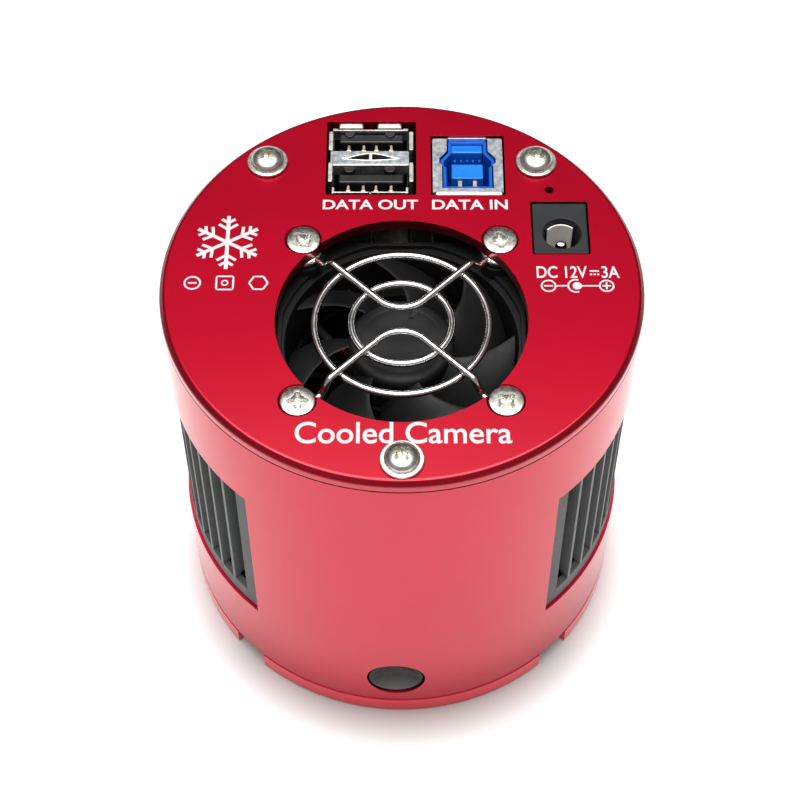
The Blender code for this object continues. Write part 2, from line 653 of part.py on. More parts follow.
def heat_sink():
    sink = cylinder("heat_sink", SINK_RADIUS, SINK_BASE_BOTTOM, SINK_BASE_TOP,
                    material=ALUMINIUM, steps=INNER_STEPS)
    fins = []
    for number in range(FIN_COUNT):
        y = (number - (FIN_COUNT - 1) / 2) * FIN_PITCH
        half = sqrt(FIN_RADIUS ** 2 - (abs(y) + FIN_THICKNESS / 2) ** 2)
        fins.append([(x, y + v) for x, v in rectangle(half, FIN_THICKNESS / 2)])
    fuse(sink, prism("fins", fins, SINK_BASE_TOP - OVERLAP, FIN_TOP))
    for number, at in enumerate(BOARD_SCREWS, 1):
        fuse(sink, cylinder(f"board_post_{number}", BOARD_POST_RADIUS, SINK_BASE_TOP - OVERLAP,
                            BOARD_BOTTOM - GAP, at, steps=16))
        cut(sink, cylinder(f"post_hole_{number}", BOARD_SCREW_HOLE_RADIUS,
                           BOARD_BOTTOM - POST_HOLE_DEPTH, BOARD_BOTTOM + OVERLAP, at,
                           steps=SCREW_STEPS))


def main_board():
    board = cylinder("main_board", BOARD_RADIUS, BOARD_BOTTOM, BOARD_TOP, material=BOARD,
                     steps=INNER_STEPS)
    low, high = BOARD_BOTTOM - OVERLAP, BOARD_TOP + OVERLAP
    cut(board, cylinder("fan_cutout", BOARD_CUTOUT_RADIUS, low, high, (FAN_X, FAN_Y), steps=24))
    for side, middle in (("right", 0), ("left", 180)):
        cut(board, prism(f"board_relief_{side}", [sector_outline(
            GRILLE_INNER_RADIUS - GAP, BODY_RADIUS, middle - WINDOW_HALF_ANGLE - 1,
            middle + WINDOW_HALF_ANGLE + 1, 12)], low, high))
    for number, at in enumerate(BOARD_SCREWS, 1):
        cut(board, cylinder(f"board_hole_{number}", BOARD_SCREW_HOLE_RADIUS, low, high, at,
                            steps=SCREW_STEPS))
        pan_screw(f"board_screw_{number}", at, BOARD_TOP + SEAL_GAP, BOARD_SCREW_LENGTH,
                  20 * number, BOARD_SCREW_RADIUS, BOARD_SCREW_HEAD)


# --------------------------------------------------------------------- fan

def fan_frame():
    side = FAN_SIZE / 2
    corner = []
    for turn in range(4):
        cx, cy = polar((side - FAN_CORNER) * sqrt(2), 45 + 90 * turn)
        corner += [(cx + FAN_CORNER * cos(radians(a)), cy + FAN_CORNER * sin(radians(a)))
                   for a in range(90 * turn, 90 * turn + 91, 30)]
    frame = prism("fan_frame", [corner], FAN_BOTTOM, FAN_TOP, (FAN_X, FAN_Y), BLACK)
    bore = cylinder("fan_bore", FAN_BORE_RADIUS, FAN_BOTTOM - OVERLAP, FAN_TOP + OVERLAP,
                    (FAN_X, FAN_Y), steps=48)
    limit = FAN_LIP_HALF_WIDTH
    circle = [polar(FAN_LIP_RADIUS, a) for a in range(0, 360, 6)]
    lip = prism("fan_lip", [[(max(-limit, min(limit, x)), max(-limit, min(limit, y)))
                             for x, y in circle]], FAN_TOP - 1.0, FAN_TOP + OVERLAP, (FAN_X, FAN_Y))
    cut(frame, bore, lip)
    fuse(frame, cylinder("motor_base", MOTOR_BASE_RADIUS, FAN_BOTTOM, MOTOR_BASE_TOP,
                         (FAN_X, FAN_Y)))
    inner, outer = MOTOR_BASE_RADIUS - 1, FAN_BORE_RADIUS + OVERLAP
    for number, angle in enumerate(range(30, 360, 90), 1):
        x, y = polar((inner + outer) / 2, angle)
        strut = box(f"strut_{number}", (outer - inner, STRUT_WIDTH), (FAN_X + x, FAN_Y + y),
                    FAN_BOTTOM, MOTOR_BASE_TOP)
        strut.rotation_euler.z = radians(angle)
        fuse(frame, strut)
    for number, at in enumerate(fan_screw_places(), 1):
        fuse(frame, cylinder(f"fan_post_{number}", FAN_POST_RADIUS, FAN_TOP - OVERLAP,
                             FAN_POST_TOP, at, steps=20))
        cut(frame, cylinder(f"fan_screw_hole_{number}", M3_HOLE_RADIUS, FAN_BOTTOM - OVERLAP,
                            FAN_POST_TOP + OVERLAP, at, steps=SCREW_STEPS))


def fan_screw_places():
    return [(FAN_X + sx * FAN_SCREW_OFFSET, FAN_Y + sy * FAN_SCREW_OFFSET)
            for sx, sy in ((-1, 1), (1, 1), (-1, -1), (1, -1))]


def fan_blade(name, turn):
    """One blade: a sheet that twists from its top edge to its lower edge, made thick."""
    bm = bmesh.new()
    across, along = 3, 4
    root = HUB_RADIUS - 0.5
    grid = []
    for i in range(across + 1):
        share = i / across
        radius = root + (BLADE_TIP_RADIUS - root) * share
        row = []
        for j in range(along + 1):
            step = j / along
            angle = turn + BLADE_SWEEP * share ** 1.3 + BLADE_SPAN * (0.5 - step)
            height = BLADE_TOP + (BLADE_BOTTOM - BLADE_TOP) * step + BLADE_ARCH * sin(pi * step)
            row.append(bm.verts.new((*polar(radius, angle), height)))
        grid.append(row)
    for i in range(across):
        for j in range(along):
            bm.faces.new((grid[i][j], grid[i + 1][j], grid[i + 1][j + 1], grid[i][j + 1]))
    blade = from_bmesh(name, bm, (FAN_X, FAN_Y, 0))
    sheet = blade.modifiers.new("thickness", "SOLIDIFY")
    sheet.thickness = BLADE_THICKNESS * MM
    sheet.offset = 0
    return blade


def fan_rotor():
    inner = HUB_RADIUS - HUB_WALL
    hub = turned("fan_rotor", [
        (0, HUB_TOP), (HUB_RADIUS - 1.0, HUB_TOP), (HUB_RADIUS - 0.3, HUB_TOP - 0.3),
        (HUB_RADIUS, HUB_TOP - 1.0), (HUB_RADIUS, HUB_BOTTOM), (inner, HUB_BOTTOM),
        (inner, HUB_TOP - 1.0), (0, HUB_TOP - 1.0)], (FAN_X, FAN_Y, 0), BLACK, 28, closed=False)
    for number in range(BLADE_COUNT):
        fuse(hub, fan_blade(f"blade_{number + 1}", BLADE_PHASE + 360 / BLADE_COUNT * number))


def fan_motor():
    at = (FAN_X, FAN_Y)
    base = MOTOR_BASE_TOP + GAP
    shaft_top = HUB_TOP - 1.0 - SEAL_GAP
    ring("fan_magnet", *MAGNET_RADII, HUB_BOTTOM + 0.6, HUB_TOP - 1.4, at, MAGNET, 20)
    cylinder("fan_shaft", SHAFT_RADIUS, base, shaft_top, at, STEEL, 16)
    ring("fan_bearing", *BEARING_RADII, base, shaft_top - 1.0, at, BRASS, 16)
    stator = prism("fan_stator", [cross_outline(STATOR_REACH, STATOR_ARM_HALF_WIDTH)], base + 0.2,
                   HUB_TOP - 2.2, at, COPPER)
    stator.rotation_euler.z = radians(45)
    cut(stator, cylinder("stator_bore", STATOR_BORE_RADIUS, MOTOR_BASE_TOP, HUB_TOP, at, steps=16))


def guard_arm(side):
    """Points of one bent wire, from corner to corner round its vertex."""
    radius, offset = GUARD_VERTEX_RADIUS, GUARD_VERTEX_OFFSET
    centre = offset + radius * sqrt(2)
    half = [(0.0, centre - radius)]
    half += [(radius * sin(radians(a)), centre - radius * cos(radians(a))) for a in (15, 30, 45)]
    diagonal = [(GUARD_BEND_START, 0.0), (GUARD_BEND_START + 0.6, 0.15), (GUARD_BEND_END - 0.6, 0.85),
                (GUARD_BEND_END, 1.0),
                (FAN_SCREW_OFFSET * sqrt(2) - GUARD_EYE_RADIUS, 1.0)]
    path = [(x, y, GUARD_ARM_Z) for x, y in half]
    for reach, fall in diagonal:
        x = (reach - offset / sqrt(2)) / sqrt(2)
        path.append((x, reach / sqrt(2) + offset / 2,
                     GUARD_ARM_Z + (GUARD_EYE_Z - GUARD_ARM_Z) * fall))
    other = [(-x, y, z) for x, y, z in reversed(path[1:])]
    return [(FAN_X + x, FAN_Y + side * y, z) for x, y, z in other + path]


def finger_guard():
    outer, inner = GUARD_RINGS
    guard = torus("finger_guard", outer, WIRE_RADIUS, (FAN_X, FAN_Y, GUARD_RING_Z), CHROME, (32, 6))
    fuse(guard, tube("far_arm", guard_arm(1), WIRE_RADIUS),
         tube("near_arm", guard_arm(-1), WIRE_RADIUS),
         torus("inner_ring", inner, WIRE_RADIUS, (FAN_X, FAN_Y, GUARD_RING_Z), None, (20, 6)))
    for number, at in enumerate(fan_screw_places(), 1):
        fuse(guard, torus(f"eye_{number}", GUARD_EYE_RADIUS, WIRE_RADIUS, (*at, GUARD_EYE_Z),
                          None, (12, 6)))


# ------------------------------------------------------ rear cover, sockets

def rear_cover():
    cover = turned("rear_cover", [
        (0, BODY_TOP), (BODY_RADIUS - COVER_CHAMFER, BODY_TOP),
        (BODY_RADIUS, BODY_TOP - COVER_CHAMFER), (BODY_RADIUS, COVER_UNDERSIDE),
        (0, COVER_UNDERSIDE)], material=RED, steps=BODY_STEPS, closed=False)
    low, high = COVER_UNDERSIDE - OVERLAP, BODY_TOP + OVERLAP
    cut(cover, cylinder("fan_opening", FAN_HOLE_RADIUS, low, high, (FAN_X, FAN_Y),
                        steps=48))
    for name, at, opening in (("output", USB_OUTPUT_AT, USB_OUTPUT_OPENING),
                              ("input", USB_INPUT_AT, USB_INPUT_OPENING),
                              ("jack", JACK_AT, JACK_OPENING)):
        cut(cover, box(f"{name}_opening", opening, at, low, high))
    cut(cover, cylinder("light_hole", LIGHT_HOLE_RADIUS, low, high, LIGHT_AT, steps=12))
    for number, at in enumerate(fan_screw_places(), 1):
        cut(cover, countersink(f"cover_sink_{number}", at, BODY_TOP, COVER_THICKNESS + OVERLAP))
        flat_screw(f"fan_screw_{number}", at, BODY_TOP - FAN_SCREW_DEPTH, FAN_SCREW_LENGTH,
                   turn=25 + 17 * number)
    washer_bottom = BODY_TOP + SEAL_GAP
    washer_top = washer_bottom + WASHER_THICKNESS
    for number, at in enumerate(COVER_SCREWS, 1):
        cut(cover, cylinder(f"cover_hole_{number}", M3_HOLE_RADIUS, low, high, at, steps=16))
        ring(f"cover_washer_{number}", M3_HOLE_RADIUS, WASHER_RADIUS, washer_bottom, washer_top,
             at, STEEL, 16)
        pan_screw(f"cover_screw_{number}", at, washer_top + SEAL_GAP, COVER_SCREW_LENGTH,
                  turn=15 * number)


def usb_output():
    """Two stacked output sockets in one shell, a contact tongue in each."""
    width, depth = USB_OUTPUT_OPENING
    x, y = USB_OUTPUT_AT
    shell = box("usb_output_shell", (width - 2 * GAP, depth - 2 * GAP), (x, y), SOCKET_BOTTOM,
                SOCKET_TOP, SHELL)
    floor = SOCKET_TOP - USB_OUTPUT_MOUTH_DEPTH
    for name, near, far in USB_OUTPUT_MOUTHS:
        cut(shell, box(f"{name}_socket", (USB_OUTPUT_MOUTH_WIDTH, far - near),
                       (x, (near + far) / 2), floor, SOCKET_TOP + OVERLAP))
        tongue_y = far - USB_OUTPUT_TONGUE[1]
        box(f"usb_output_tongue_{name}", USB_OUTPUT_TONGUE, (x, tongue_y), floor + GAP,
            USB_OUTPUT_TONGUE_TOP, BLACK)


def keyhole(inset):
    """Outline of the input socket's mouth, drawn in by a distance."""
    wide, narrow = 4.5 - inset, 3.5 - inset
    low, step, shoulder, high = -5.0 + inset, 1.2, 2.3 - inset * 0.6, 6.0 - inset
    right = [(wide, low), (wide, step - inset * 0.4), (narrow, shoulder), (narrow, high)]
    return right + [(-x, y) for x, y in reversed(right)]


def usb_input():
    """Square input socket: a shell, and an insulator that carries two tongues."""
    width, depth = USB_INPUT_OPENING
    x, y = USB_INPUT_AT
    shell = box("usb_input_shell", (width - 2 * GAP, depth - 2 * GAP), (x, y), SOCKET_BOTTOM,
                SOCKET_TOP, SHELL)
    floor = SOCKET_TOP - USB_INPUT_MOUTH_DEPTH
    cut(shell, prism("input_mouth", [keyhole(0)], floor, SOCKET_TOP + OVERLAP, (x, y)))
    insulator = prism("usb_input_insulator", [keyhole(GAP)], floor + GAP, SOCKET_TOP - 0.5, (x, y),
                      BLUE)
    cut(insulator, prism("insulator_mouth", [keyhole(GAP + INSULATOR_WALL)],
                         floor + INSULATOR_FLOOR, SOCKET_TOP + OVERLAP, (x, y)))
    for name, (size, offset) in (("lower_tongue", USB_INPUT_LOWER_TONGUE),
                                 ("upper_tongue", USB_INPUT_UPPER_TONGUE)):
        fuse(insulator, box(name, size, (x + offset[0], y + offset[1]),
                            floor + INSULATOR_FLOOR - OVERLAP, USB_INPUT_TONGUE_TOP))


def power_jack():
    width, depth = JACK_OPENING
    floor = JACK_TOP - JACK_BARREL_DEPTH
    body = box("power_jack_body", (width - 2 * GAP, depth - 2 * GAP), JACK_AT, SOCKET_BOTTOM,
               JACK_TOP, BLACK)
    cut(body, cylinder("jack_barrel", JACK_BARREL_RADIUS, floor, JACK_TOP + OVERLAP,
                       JACK_BARREL_AT, steps=INNER_STEPS))
    cylinder("power_jack_pin", JACK_PIN_RADIUS, floor + GAP, JACK_PIN_TOP, JACK_BARREL_AT, STEEL,
             16)
    prism("power_jack_spring", [sector_outline(*JACK_SPRING_RADII, *JACK_SPRING_ANGLES, 10)],
          floor + GAP, JACK_SPRING_TOP, JACK_BARREL_AT, SHELL)
    cylinder("status_light", LIGHT_RADIUS, SOCKET_BOTTOM, BODY_TOP - 1.2, LIGHT_AT, GLASS,
             SCREW_STEPS)


front_plate()
window()
sensor_chamber()
sensor()
cooler()
plug()
casing()
vent_grille("right", 0)
vent_grille("left", 180)
heat_sink()
main_board()
fan_frame()
fan_rotor()
fan_motor()
finger_guard()
rear_cover()
usb_output()
usb_input()
power_jack()
tube("fan_lead", LEAD_PATH, LEAD_RADIUS, LEAD)
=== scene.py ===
"""Looks of the cooled astronomy camera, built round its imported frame.

Sizes and places are millimetres and are read from the frame's nodes where one holds them; the
mesh helpers turn them into metres. +Z is up, -Y is the side with the plug.
"""
import json
from math import cos, degrees, pi, radians, sin, sqrt

import bmesh
import bpy
from mathutils import Matrix, Vector

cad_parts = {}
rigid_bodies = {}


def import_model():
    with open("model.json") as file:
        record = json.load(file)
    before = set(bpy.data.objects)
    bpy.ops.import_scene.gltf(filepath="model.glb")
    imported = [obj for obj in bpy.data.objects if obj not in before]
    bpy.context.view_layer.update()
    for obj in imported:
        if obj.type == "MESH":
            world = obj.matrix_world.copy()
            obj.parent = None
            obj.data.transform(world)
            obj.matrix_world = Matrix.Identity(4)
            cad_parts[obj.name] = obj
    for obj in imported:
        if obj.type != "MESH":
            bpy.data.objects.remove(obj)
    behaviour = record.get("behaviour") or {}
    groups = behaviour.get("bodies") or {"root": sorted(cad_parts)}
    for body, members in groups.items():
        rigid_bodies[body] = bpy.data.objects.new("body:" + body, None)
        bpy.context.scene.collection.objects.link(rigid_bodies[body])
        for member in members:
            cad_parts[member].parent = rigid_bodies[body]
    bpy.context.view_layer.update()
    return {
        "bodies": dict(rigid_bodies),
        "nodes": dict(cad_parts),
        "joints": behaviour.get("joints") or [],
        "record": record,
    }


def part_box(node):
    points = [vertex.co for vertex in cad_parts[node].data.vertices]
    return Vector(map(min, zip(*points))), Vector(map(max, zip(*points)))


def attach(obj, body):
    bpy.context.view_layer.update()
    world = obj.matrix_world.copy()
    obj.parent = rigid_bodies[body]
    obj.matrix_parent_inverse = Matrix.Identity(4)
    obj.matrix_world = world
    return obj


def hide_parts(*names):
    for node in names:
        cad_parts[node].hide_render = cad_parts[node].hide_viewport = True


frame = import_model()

MM = 0.001
BODY = "camera_body"
ROTOR = "rotor"
PLUG = "plug"


def span(node):
    """Lowest and highest corner of a CAD node, in millimetres."""
    low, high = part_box(node)
    return Vector(low) / MM, Vector(high) / MM


def middle(node):
    low, high = span(node)
    return (low + high) / 2


def centre_of(node):
    return tuple(middle(node).xy)


# Sizes that the frame holds
COVER_LOW, COVER_HIGH = (corner.z for corner in span("rear_cover"))
BODY_RADIUS = span("rear_cover")[1].x
CASING_LOW, CASING_HIGH = (corner.z for corner in span("casing_shell"))
PLATE_HIGH = span("front_plate")[1].z
FAN = middle("fan_rotor")
PLUG_AT = middle("desiccant_plug")
LIGHT_AT = centre_of("status_light")
JACK_BARREL = centre_of("power_jack_pin")

# Sizes that only shapes inside a node show
WALL_INNER = 37.0
COVER_CHAMFER = 0.8
SCREW_HOLE = 1.7               # radius of a screw's clearance hole
BOSS_RADIUS, BOSS_LOW = 3.8, 60.0   # posts in the casing for the cover's screws
FAN_HOLE = 20.1
FAN_SCREW_OFFSET = 16.05
THREAD_RADIUS = 20.6
THREAD_PITCH = 0.75
NOTCH_WIDTH = 6.9
NOTCH_DEPTH = 4.6
WINDOW_LOW, WINDOW_HIGH = 20.2, 56.6
WINDOW_HALF_ANGLE = 50.0
GRILLE_SILL = 24.5             # top of the grille's thick lower edge
GRILLE_END = 27.2              # distance from the middle, along Y, where the slots end and the end strips' painted shade starts
PLUG_HOLE = 5.1
USB_OUTPUT_OPENING = (15.1, 16.5)
USB_INPUT_OPENING = (12.4, 13.35)
JACK_OPENING = (9.45, 11.25)
LIGHT_HOLE = 0.75
PAST = 1.0                     # how far a cutter reaches past what it cuts
FINE = 192                     # facets round the big turned pieces
EDGE = 0.07                    # width of the small rounding on machined edges

# Light, floor and camera
PANEL_LIGHT = 6.2              # strength of the overhead panel
PANEL_INNER, PANEL_OUTER = 16.0, 36.0   # its full and its faded half-angle, in degrees
ROOM_FRONT, ROOM_BACK = 0.25, 0.05   # strength of the room's light, towards and away from -Y
FLOOR_GLOW = 0.30              # the floor's own light, as from a lit table
FLOOR_REACH = 0.32             # metres over which the floor's painted shade changes
FLOOR_MIDDLE = (0, -0.006, 0)  # metres; middle of the floor's painted shade, set towards -Y so that its painted contact shadow is darkest in front
# Each shade of the floor, after its distance from the middle in metres: a warm painted contact
# shadow at the camera's edge, the plain floor, then darker far away
FLOOR_SHADES = ((0.0325, (0.26, 0.22, 0.21)), (0.0420, (0.86, 0.86, 0.86)),
                (0.150, (0.86, 0.86, 0.86)), (0.300, (0.50, 0.50, 0.50)))
FLOOR_HALF, FLOOR_THICK = 30000, 20
CAMERA_AT = (-0.0003, -0.1968, 0.3202)   # metres
CAMERA_TILT = 35.248           # degrees from straight down
CAMERA_LENS, CAMERA_SENSOR = 88.0, 36.0   # millimetres


# ---- materials

class Nodes:
    """A node tree and short ways to fill it."""

    def __init__(self, tree):
        self.tree = tree

    def node(self, kind, **values):
        """A new node, with values for its inputs or its own settings."""
        made = self.tree.nodes.new(kind)
        for key, value in values.items():
            socket = key.replace("_", " ")
            if socket in made.inputs:
                made.inputs[socket].default_value = value
            else:
                setattr(made, key, value)
        return made

    def link(self, source, target):
        self.tree.links.new(source, target)

    def map_range(self, source, **values):
        made = self.node("ShaderNodeMapRange", **values)
        self.link(source, made.inputs["Value"])
        return made.outputs["Result"]


class Surface(Nodes):
    """A Principled material and the nodes that feed it."""

    def __init__(self, name, color, roughness, metallic=0.0, **sockets):
        self.material = bpy.data.materials.new(name)
        self.material.use_nodes = True
        super().__init__(self.material.node_tree)
        self.shader = self.tree.nodes["Principled BSDF"]
        self.color = color
        self.set("Base Color", (*color, 1.0))
        self.set("Roughness", roughness)
        self.set("Metallic", metallic)
        for key, value in sockets.items():
            self.set(key.replace("_", " "), value)

    def set(self, socket, value):
        self.shader.inputs[socket].default_value = value

    def coordinates(self):
        return self.node("ShaderNodeTexCoord").outputs["Object"]

    def grain(self, size):
        """Noise whose features are about a size in millimetres."""
        cloud = self.node("ShaderNodeTexNoise", Scale=1 / (size * MM), Detail=4.0)
        self.link(self.coordinates(), cloud.inputs["Vector"])
        return cloud.outputs["Fac"]

    def ramp(self, source, stops):
        """Colours along a source, from (position, colour) stops in order."""
        made = self.node("ShaderNodeValToRGB")
        elements = made.color_ramp.elements
        for number, (position, color) in enumerate(stops):
            stop = elements[number] if number < 2 else elements.new(1.0)
            stop.position, stop.color = position, (*color, 1)
        self.link(source, made.inputs["Fac"])
        return made.outputs["Color"]

    def vary_color(self, size, other):
        """Drift between the base colour and another one."""
        shade = self.ramp(self.grain(size), ((0.3, self.color), (0.7, other)))
        self.link(shade, self.shader.inputs["Base Color"])
        return self

    def shade_past(self, axis, start, end, color, both=False):
        """Blend to another colour along an axis, or along both its ways, between two places."""
        split = self.node("ShaderNodeSeparateXYZ")
        self.link(self.coordinates(), split.inputs["Vector"])
        place = split.outputs[axis]
        if both:
            size = self.node("ShaderNodeMath", operation="ABSOLUTE")
            self.link(place, size.inputs[0])
            place = size.outputs["Value"]
        blend = self.node("ShaderNodeMixRGB", Color2=(*color, 1))
        self.link(self.map_range(place, From_Min=start * MM, From_Max=end * MM), blend.inputs["Fac"])
        base = self.shader.inputs["Base Color"]
        self.link(base.links[0].from_socket, blend.inputs["Color1"])
        self.link(blend.outputs["Color"], base)
        return self

    def vary_roughness(self, size, low, high):
        spread = self.map_range(self.grain(size), To_Min=low, To_Max=high)
        self.link(spread, self.shader.inputs["Roughness"])
        return self

    def bump(self, size, depth):
        """Fine relief of a grain size and a depth, both in millimetres."""
        relief = self.node("ShaderNodeBump", Strength=1.0, Distance=depth * MM)
        self.link(self.grain(size), relief.inputs["Height"])
        before = self.shader.inputs["Normal"].links
        if before:
            self.link(before[0].from_socket, relief.inputs["Normal"])
        self.link(relief.outputs["Normal"], self.shader.inputs["Normal"])
        return self


def anodised(name, color, other, roughness, **sockets):
    """Dyed metal under a clear, slightly uneven oxide layer."""
    sockets = {"Coat_Weight": 1.0, "Coat_IOR": 1.4, "Coat_Roughness": 0.12, **sockets}
    made = Surface(name, color, roughness, 1.0, **sockets)
    made.vary_color(26, other).vary_roughness(9, roughness - 0.04, roughness + 0.04)
    return made.bump(0.16, 0.0022).bump(1.1, 0.0012)


def metal(name, color, other, roughness, grain=0.9, depth=0.004):
    """Bare metal, stained and worn in patches a little larger than its grain."""
    made = Surface(name, color, roughness, 1.0)
    return made.vary_color(grain * 1.7, other).vary_roughness(
        grain, roughness * 0.6, roughness * 1.7).bump(grain * 0.35, depth)


def plastic(name, color, other, roughness, grain=0.25, depth=0.004, gloss=0.45):
    """Moulded plastic, rubber, board or ink with a fine grain."""
    made = Surface(name, color, roughness, Specular_IOR_Level=gloss)
    return made.vary_color(5, other).vary_roughness(2.0, roughness - 0.08, roughness + 0.1).bump(
        grain, depth)


RED = anodised("red_anodised", (0.43, 0.0022, 0.019), (0.40, 0.002, 0.017), 0.42)
# Lighter, pinker copy of the same red anodising for the casing's sides: painted light, for the
# whiter light the sides catch
RED_SIDE_LIT = anodised("red_anodised_side_lit", (0.51, 0.004, 0.034), (0.48, 0.003, 0.030), 0.42,
                    Coat_IOR=1.39, Specular_Tint=(0.9, 0.42, 0.42, 1))
# Much lighter copy of the same red anodising for the front flange: painted light on the flange low
# down by the floor
RED_FOOT_LIT = anodised("red_anodised_foot_lit", (0.88, 0.020, 0.060), (0.84, 0.018, 0.055), 0.42)
STEEL = metal("bright_steel", (0.88, 0.86, 0.80), (0.66, 0.64, 0.58), 0.25)
SCREW_STEEL = metal("zinc_screws", (0.90, 0.89, 0.82), (0.52, 0.52, 0.48), 0.24, 0.6, 0.006)
CHROME = metal("chromed_wire", (0.93, 0.91, 0.90), (0.86, 0.85, 0.84), 0.17, 1.5, 0.001)
TIN = metal("tin_plate", (0.80, 0.79, 0.75), (0.48, 0.47, 0.44), 0.34, 0.8, 0.012)
BRIGHT_TIN = metal("bright_tin", (0.92, 0.91, 0.87), (0.80, 0.78, 0.73), 0.4, 0.8, 0.006)
GALVANISED = metal("galvanised_steel", (0.62, 0.64, 0.66), (0.25, 0.28, 0.30), 0.36, 0.5, 0.014)
# Tin of the jack's spring contact: the speckle is its own, but the near-white base is partly painted
# light for a contact deep in the shaded barrel
SPECKLED_TIN = plastic("speckled_tin", (0.97, 0.95, 0.86), (0.90, 0.88, 0.76), 0.4, 0.35, 0.01)
GOLD = metal("gold_contacts", (0.83, 0.70, 0.52), (0.74, 0.60, 0.42), 0.28)
COPPER = metal("copper", (0.72, 0.33, 0.19), (0.62, 0.27, 0.15), 0.3)
BRASS = metal("sintered_brass", (0.62, 0.47, 0.24), (0.52, 0.38, 0.18), 0.4)
BLACK = plastic("black_plastic", (0.009, 0.009, 0.010), (0.014, 0.014, 0.015), 0.34)
FAN_BLACK = plastic("fan_plastic", (0.008, 0.008, 0.009), (0.012, 0.012, 0.013), 0.46, gloss=0.25)
JACK_BLACK = plastic("jack_plastic", (0.020, 0.022, 0.024), (0.028, 0.030, 0.032), 0.46,
                     gloss=0.22)
GREY = plastic("grey_plastic", (0.150, 0.160, 0.157), (0.128, 0.138, 0.135), 0.48, 0.3, 0.006)
# Painted shade: the grille is darker on its sill below the slots and on its end strips beside the
# window's edges, where they lie in shade
GREY.shade_past("Z", GRILLE_SILL, GRILLE_SILL - 0.7, (0.070, 0.076, 0.074))
GREY.shade_past("Y", GRILLE_END, GRILLE_END + 0.3, (0.048, 0.052, 0.051), both=True)
PLUG_GREY = plastic("plug_grey", (0.009, 0.009, 0.010), (0.012, 0.012, 0.013), 0.27, 0.4, 0.003, 0.2)
# Painted light and shade: the plug is dark at its top, where its bore's upper edge shades it, and
# lighter towards the bottom
PLUG_GREY.shade_past("Z", PLUG_AT.z - 0.9, PLUG_AT.z - 6.9, (0.17, 0.17, 0.166))
RUBBER = plastic("black_rubber", (0.018, 0.018, 0.018), (0.026, 0.026, 0.026), 0.62, 0.5, 0.01)
DARK_METAL = anodised("black_anodised", (0.018, 0.018, 0.020), (0.024, 0.024, 0.026), 0.34)
BLUE = plastic("blue_plastic", (0.004, 0.085, 0.50), (0.005, 0.11, 0.58), 0.24)
# Lighter copy of the blue plastic for the narrow tongue: partly its own blue, partly a painted
# highlight
MID_BLUE = plastic("bright_blue_plastic", (0.010, 0.20, 0.76), (0.008, 0.16, 0.68), 0.18)
LIGHT_BLUE = plastic("light_blue_plastic", (0.008, 0.21, 0.74), (0.008, 0.18, 0.68), 0.26)
BOARD = plastic("circuit_board", (0.006, 0.010, 0.008), (0.009, 0.014, 0.011), 0.32)
CERAMIC = plastic("ceramic", (0.80, 0.80, 0.77), (0.74, 0.74, 0.71), 0.45)
SILICON = Surface("image_sensor", (0.10, 0.07, 0.16), 0.12, 0.55, Coat_Weight=0.6)
SILICON.vary_color(9, (0.05, 0.10, 0.14)).bump(0.2, 0.0006)
GLASS = Surface("coated_glass", (0.92, 0.97, 0.95), 0.02, IOR=1.5, Transmission_Weight=1.0)
GLASS.vary_roughness(7, 0.01, 0.04)
LIGHT = Surface("light_guide", (0.05, 0.02, 0.02), 0.25, Transmission_Weight=0.4)
LIGHT.vary_roughness(1, 0.2, 0.35)
DESICCANT = plastic("desiccant", (0.70, 0.70, 0.64), (0.60, 0.60, 0.54), 0.85, 0.4, 0.03)
MAGNET = plastic("ring_magnet", (0.045, 0.045, 0.046), (0.06, 0.06, 0.06), 0.6, 0.3, 0.01)
WIRE_RED = plastic("red_insulation", (0.50, 0.015, 0.012), (0.42, 0.012, 0.01), 0.35)
INK = plastic("white_ink", (0.72, 0.68, 0.69), (0.66, 0.62, 0.63), 0.45, 0.1, 0.001)


# ---- mesh helpers

def linked(name, mesh):
    obj = bpy.data.objects.new(name, mesh)
    bpy.context.scene.collection.objects.link(obj)
    return obj


def from_bmesh(name, bm):
    """An object from a mesh made in millimetres."""
    bmesh.ops.scale(bm, vec=(MM, MM, MM), verts=bm.verts)
    bmesh.ops.recalc_face_normals(bm, faces=bm.faces)
    mesh = bpy.data.meshes.new(name)
    bm.to_mesh(mesh)
    bm.free()
    return linked(name, mesh)


def cylinder(name, radius, low, high, at=(0, 0), steps=48):
    bm = bmesh.new()
    bmesh.ops.create_cone(bm, cap_ends=True, segments=steps, radius1=radius, radius2=radius,
                          depth=high - low)
    bmesh.ops.translate(bm, vec=(at[0], at[1], (low + high) / 2), verts=bm.verts)
    return from_bmesh(name, bm)


def turned(name, profile, at=(0, 0), steps=64):
    """Spin a closed loop of (radius, height) points; points on the axis stay single."""
    bm = bmesh.new()
    rows = []
    for turn in range(steps):
        c, s = cos(2 * pi * turn / steps), sin(2 * pi * turn / steps)
        rows.append([(at[0] + r * c, at[1] + r * s, z) for r, z in profile])
    axis = {i: bm.verts.new((at[0], at[1], z)) for i, (r, z) in enumerate(profile) if r == 0}
    grid = [[axis.get(i) or bm.verts.new(point) for i, point in enumerate(row)] for row in rows]
    count = len(profile)
    for turn in range(steps):
        here, there = grid[turn], grid[(turn + 1) % steps]
        for i in range(count):
            j = (i + 1) % count
            corners = []
            for vert in (here[i], there[i], there[j], here[j]):
                if vert not in corners:
                    corners.append(vert)
            if len(corners) > 2:
                bm.faces.new(corners)
    return from_bmesh(name, bm)


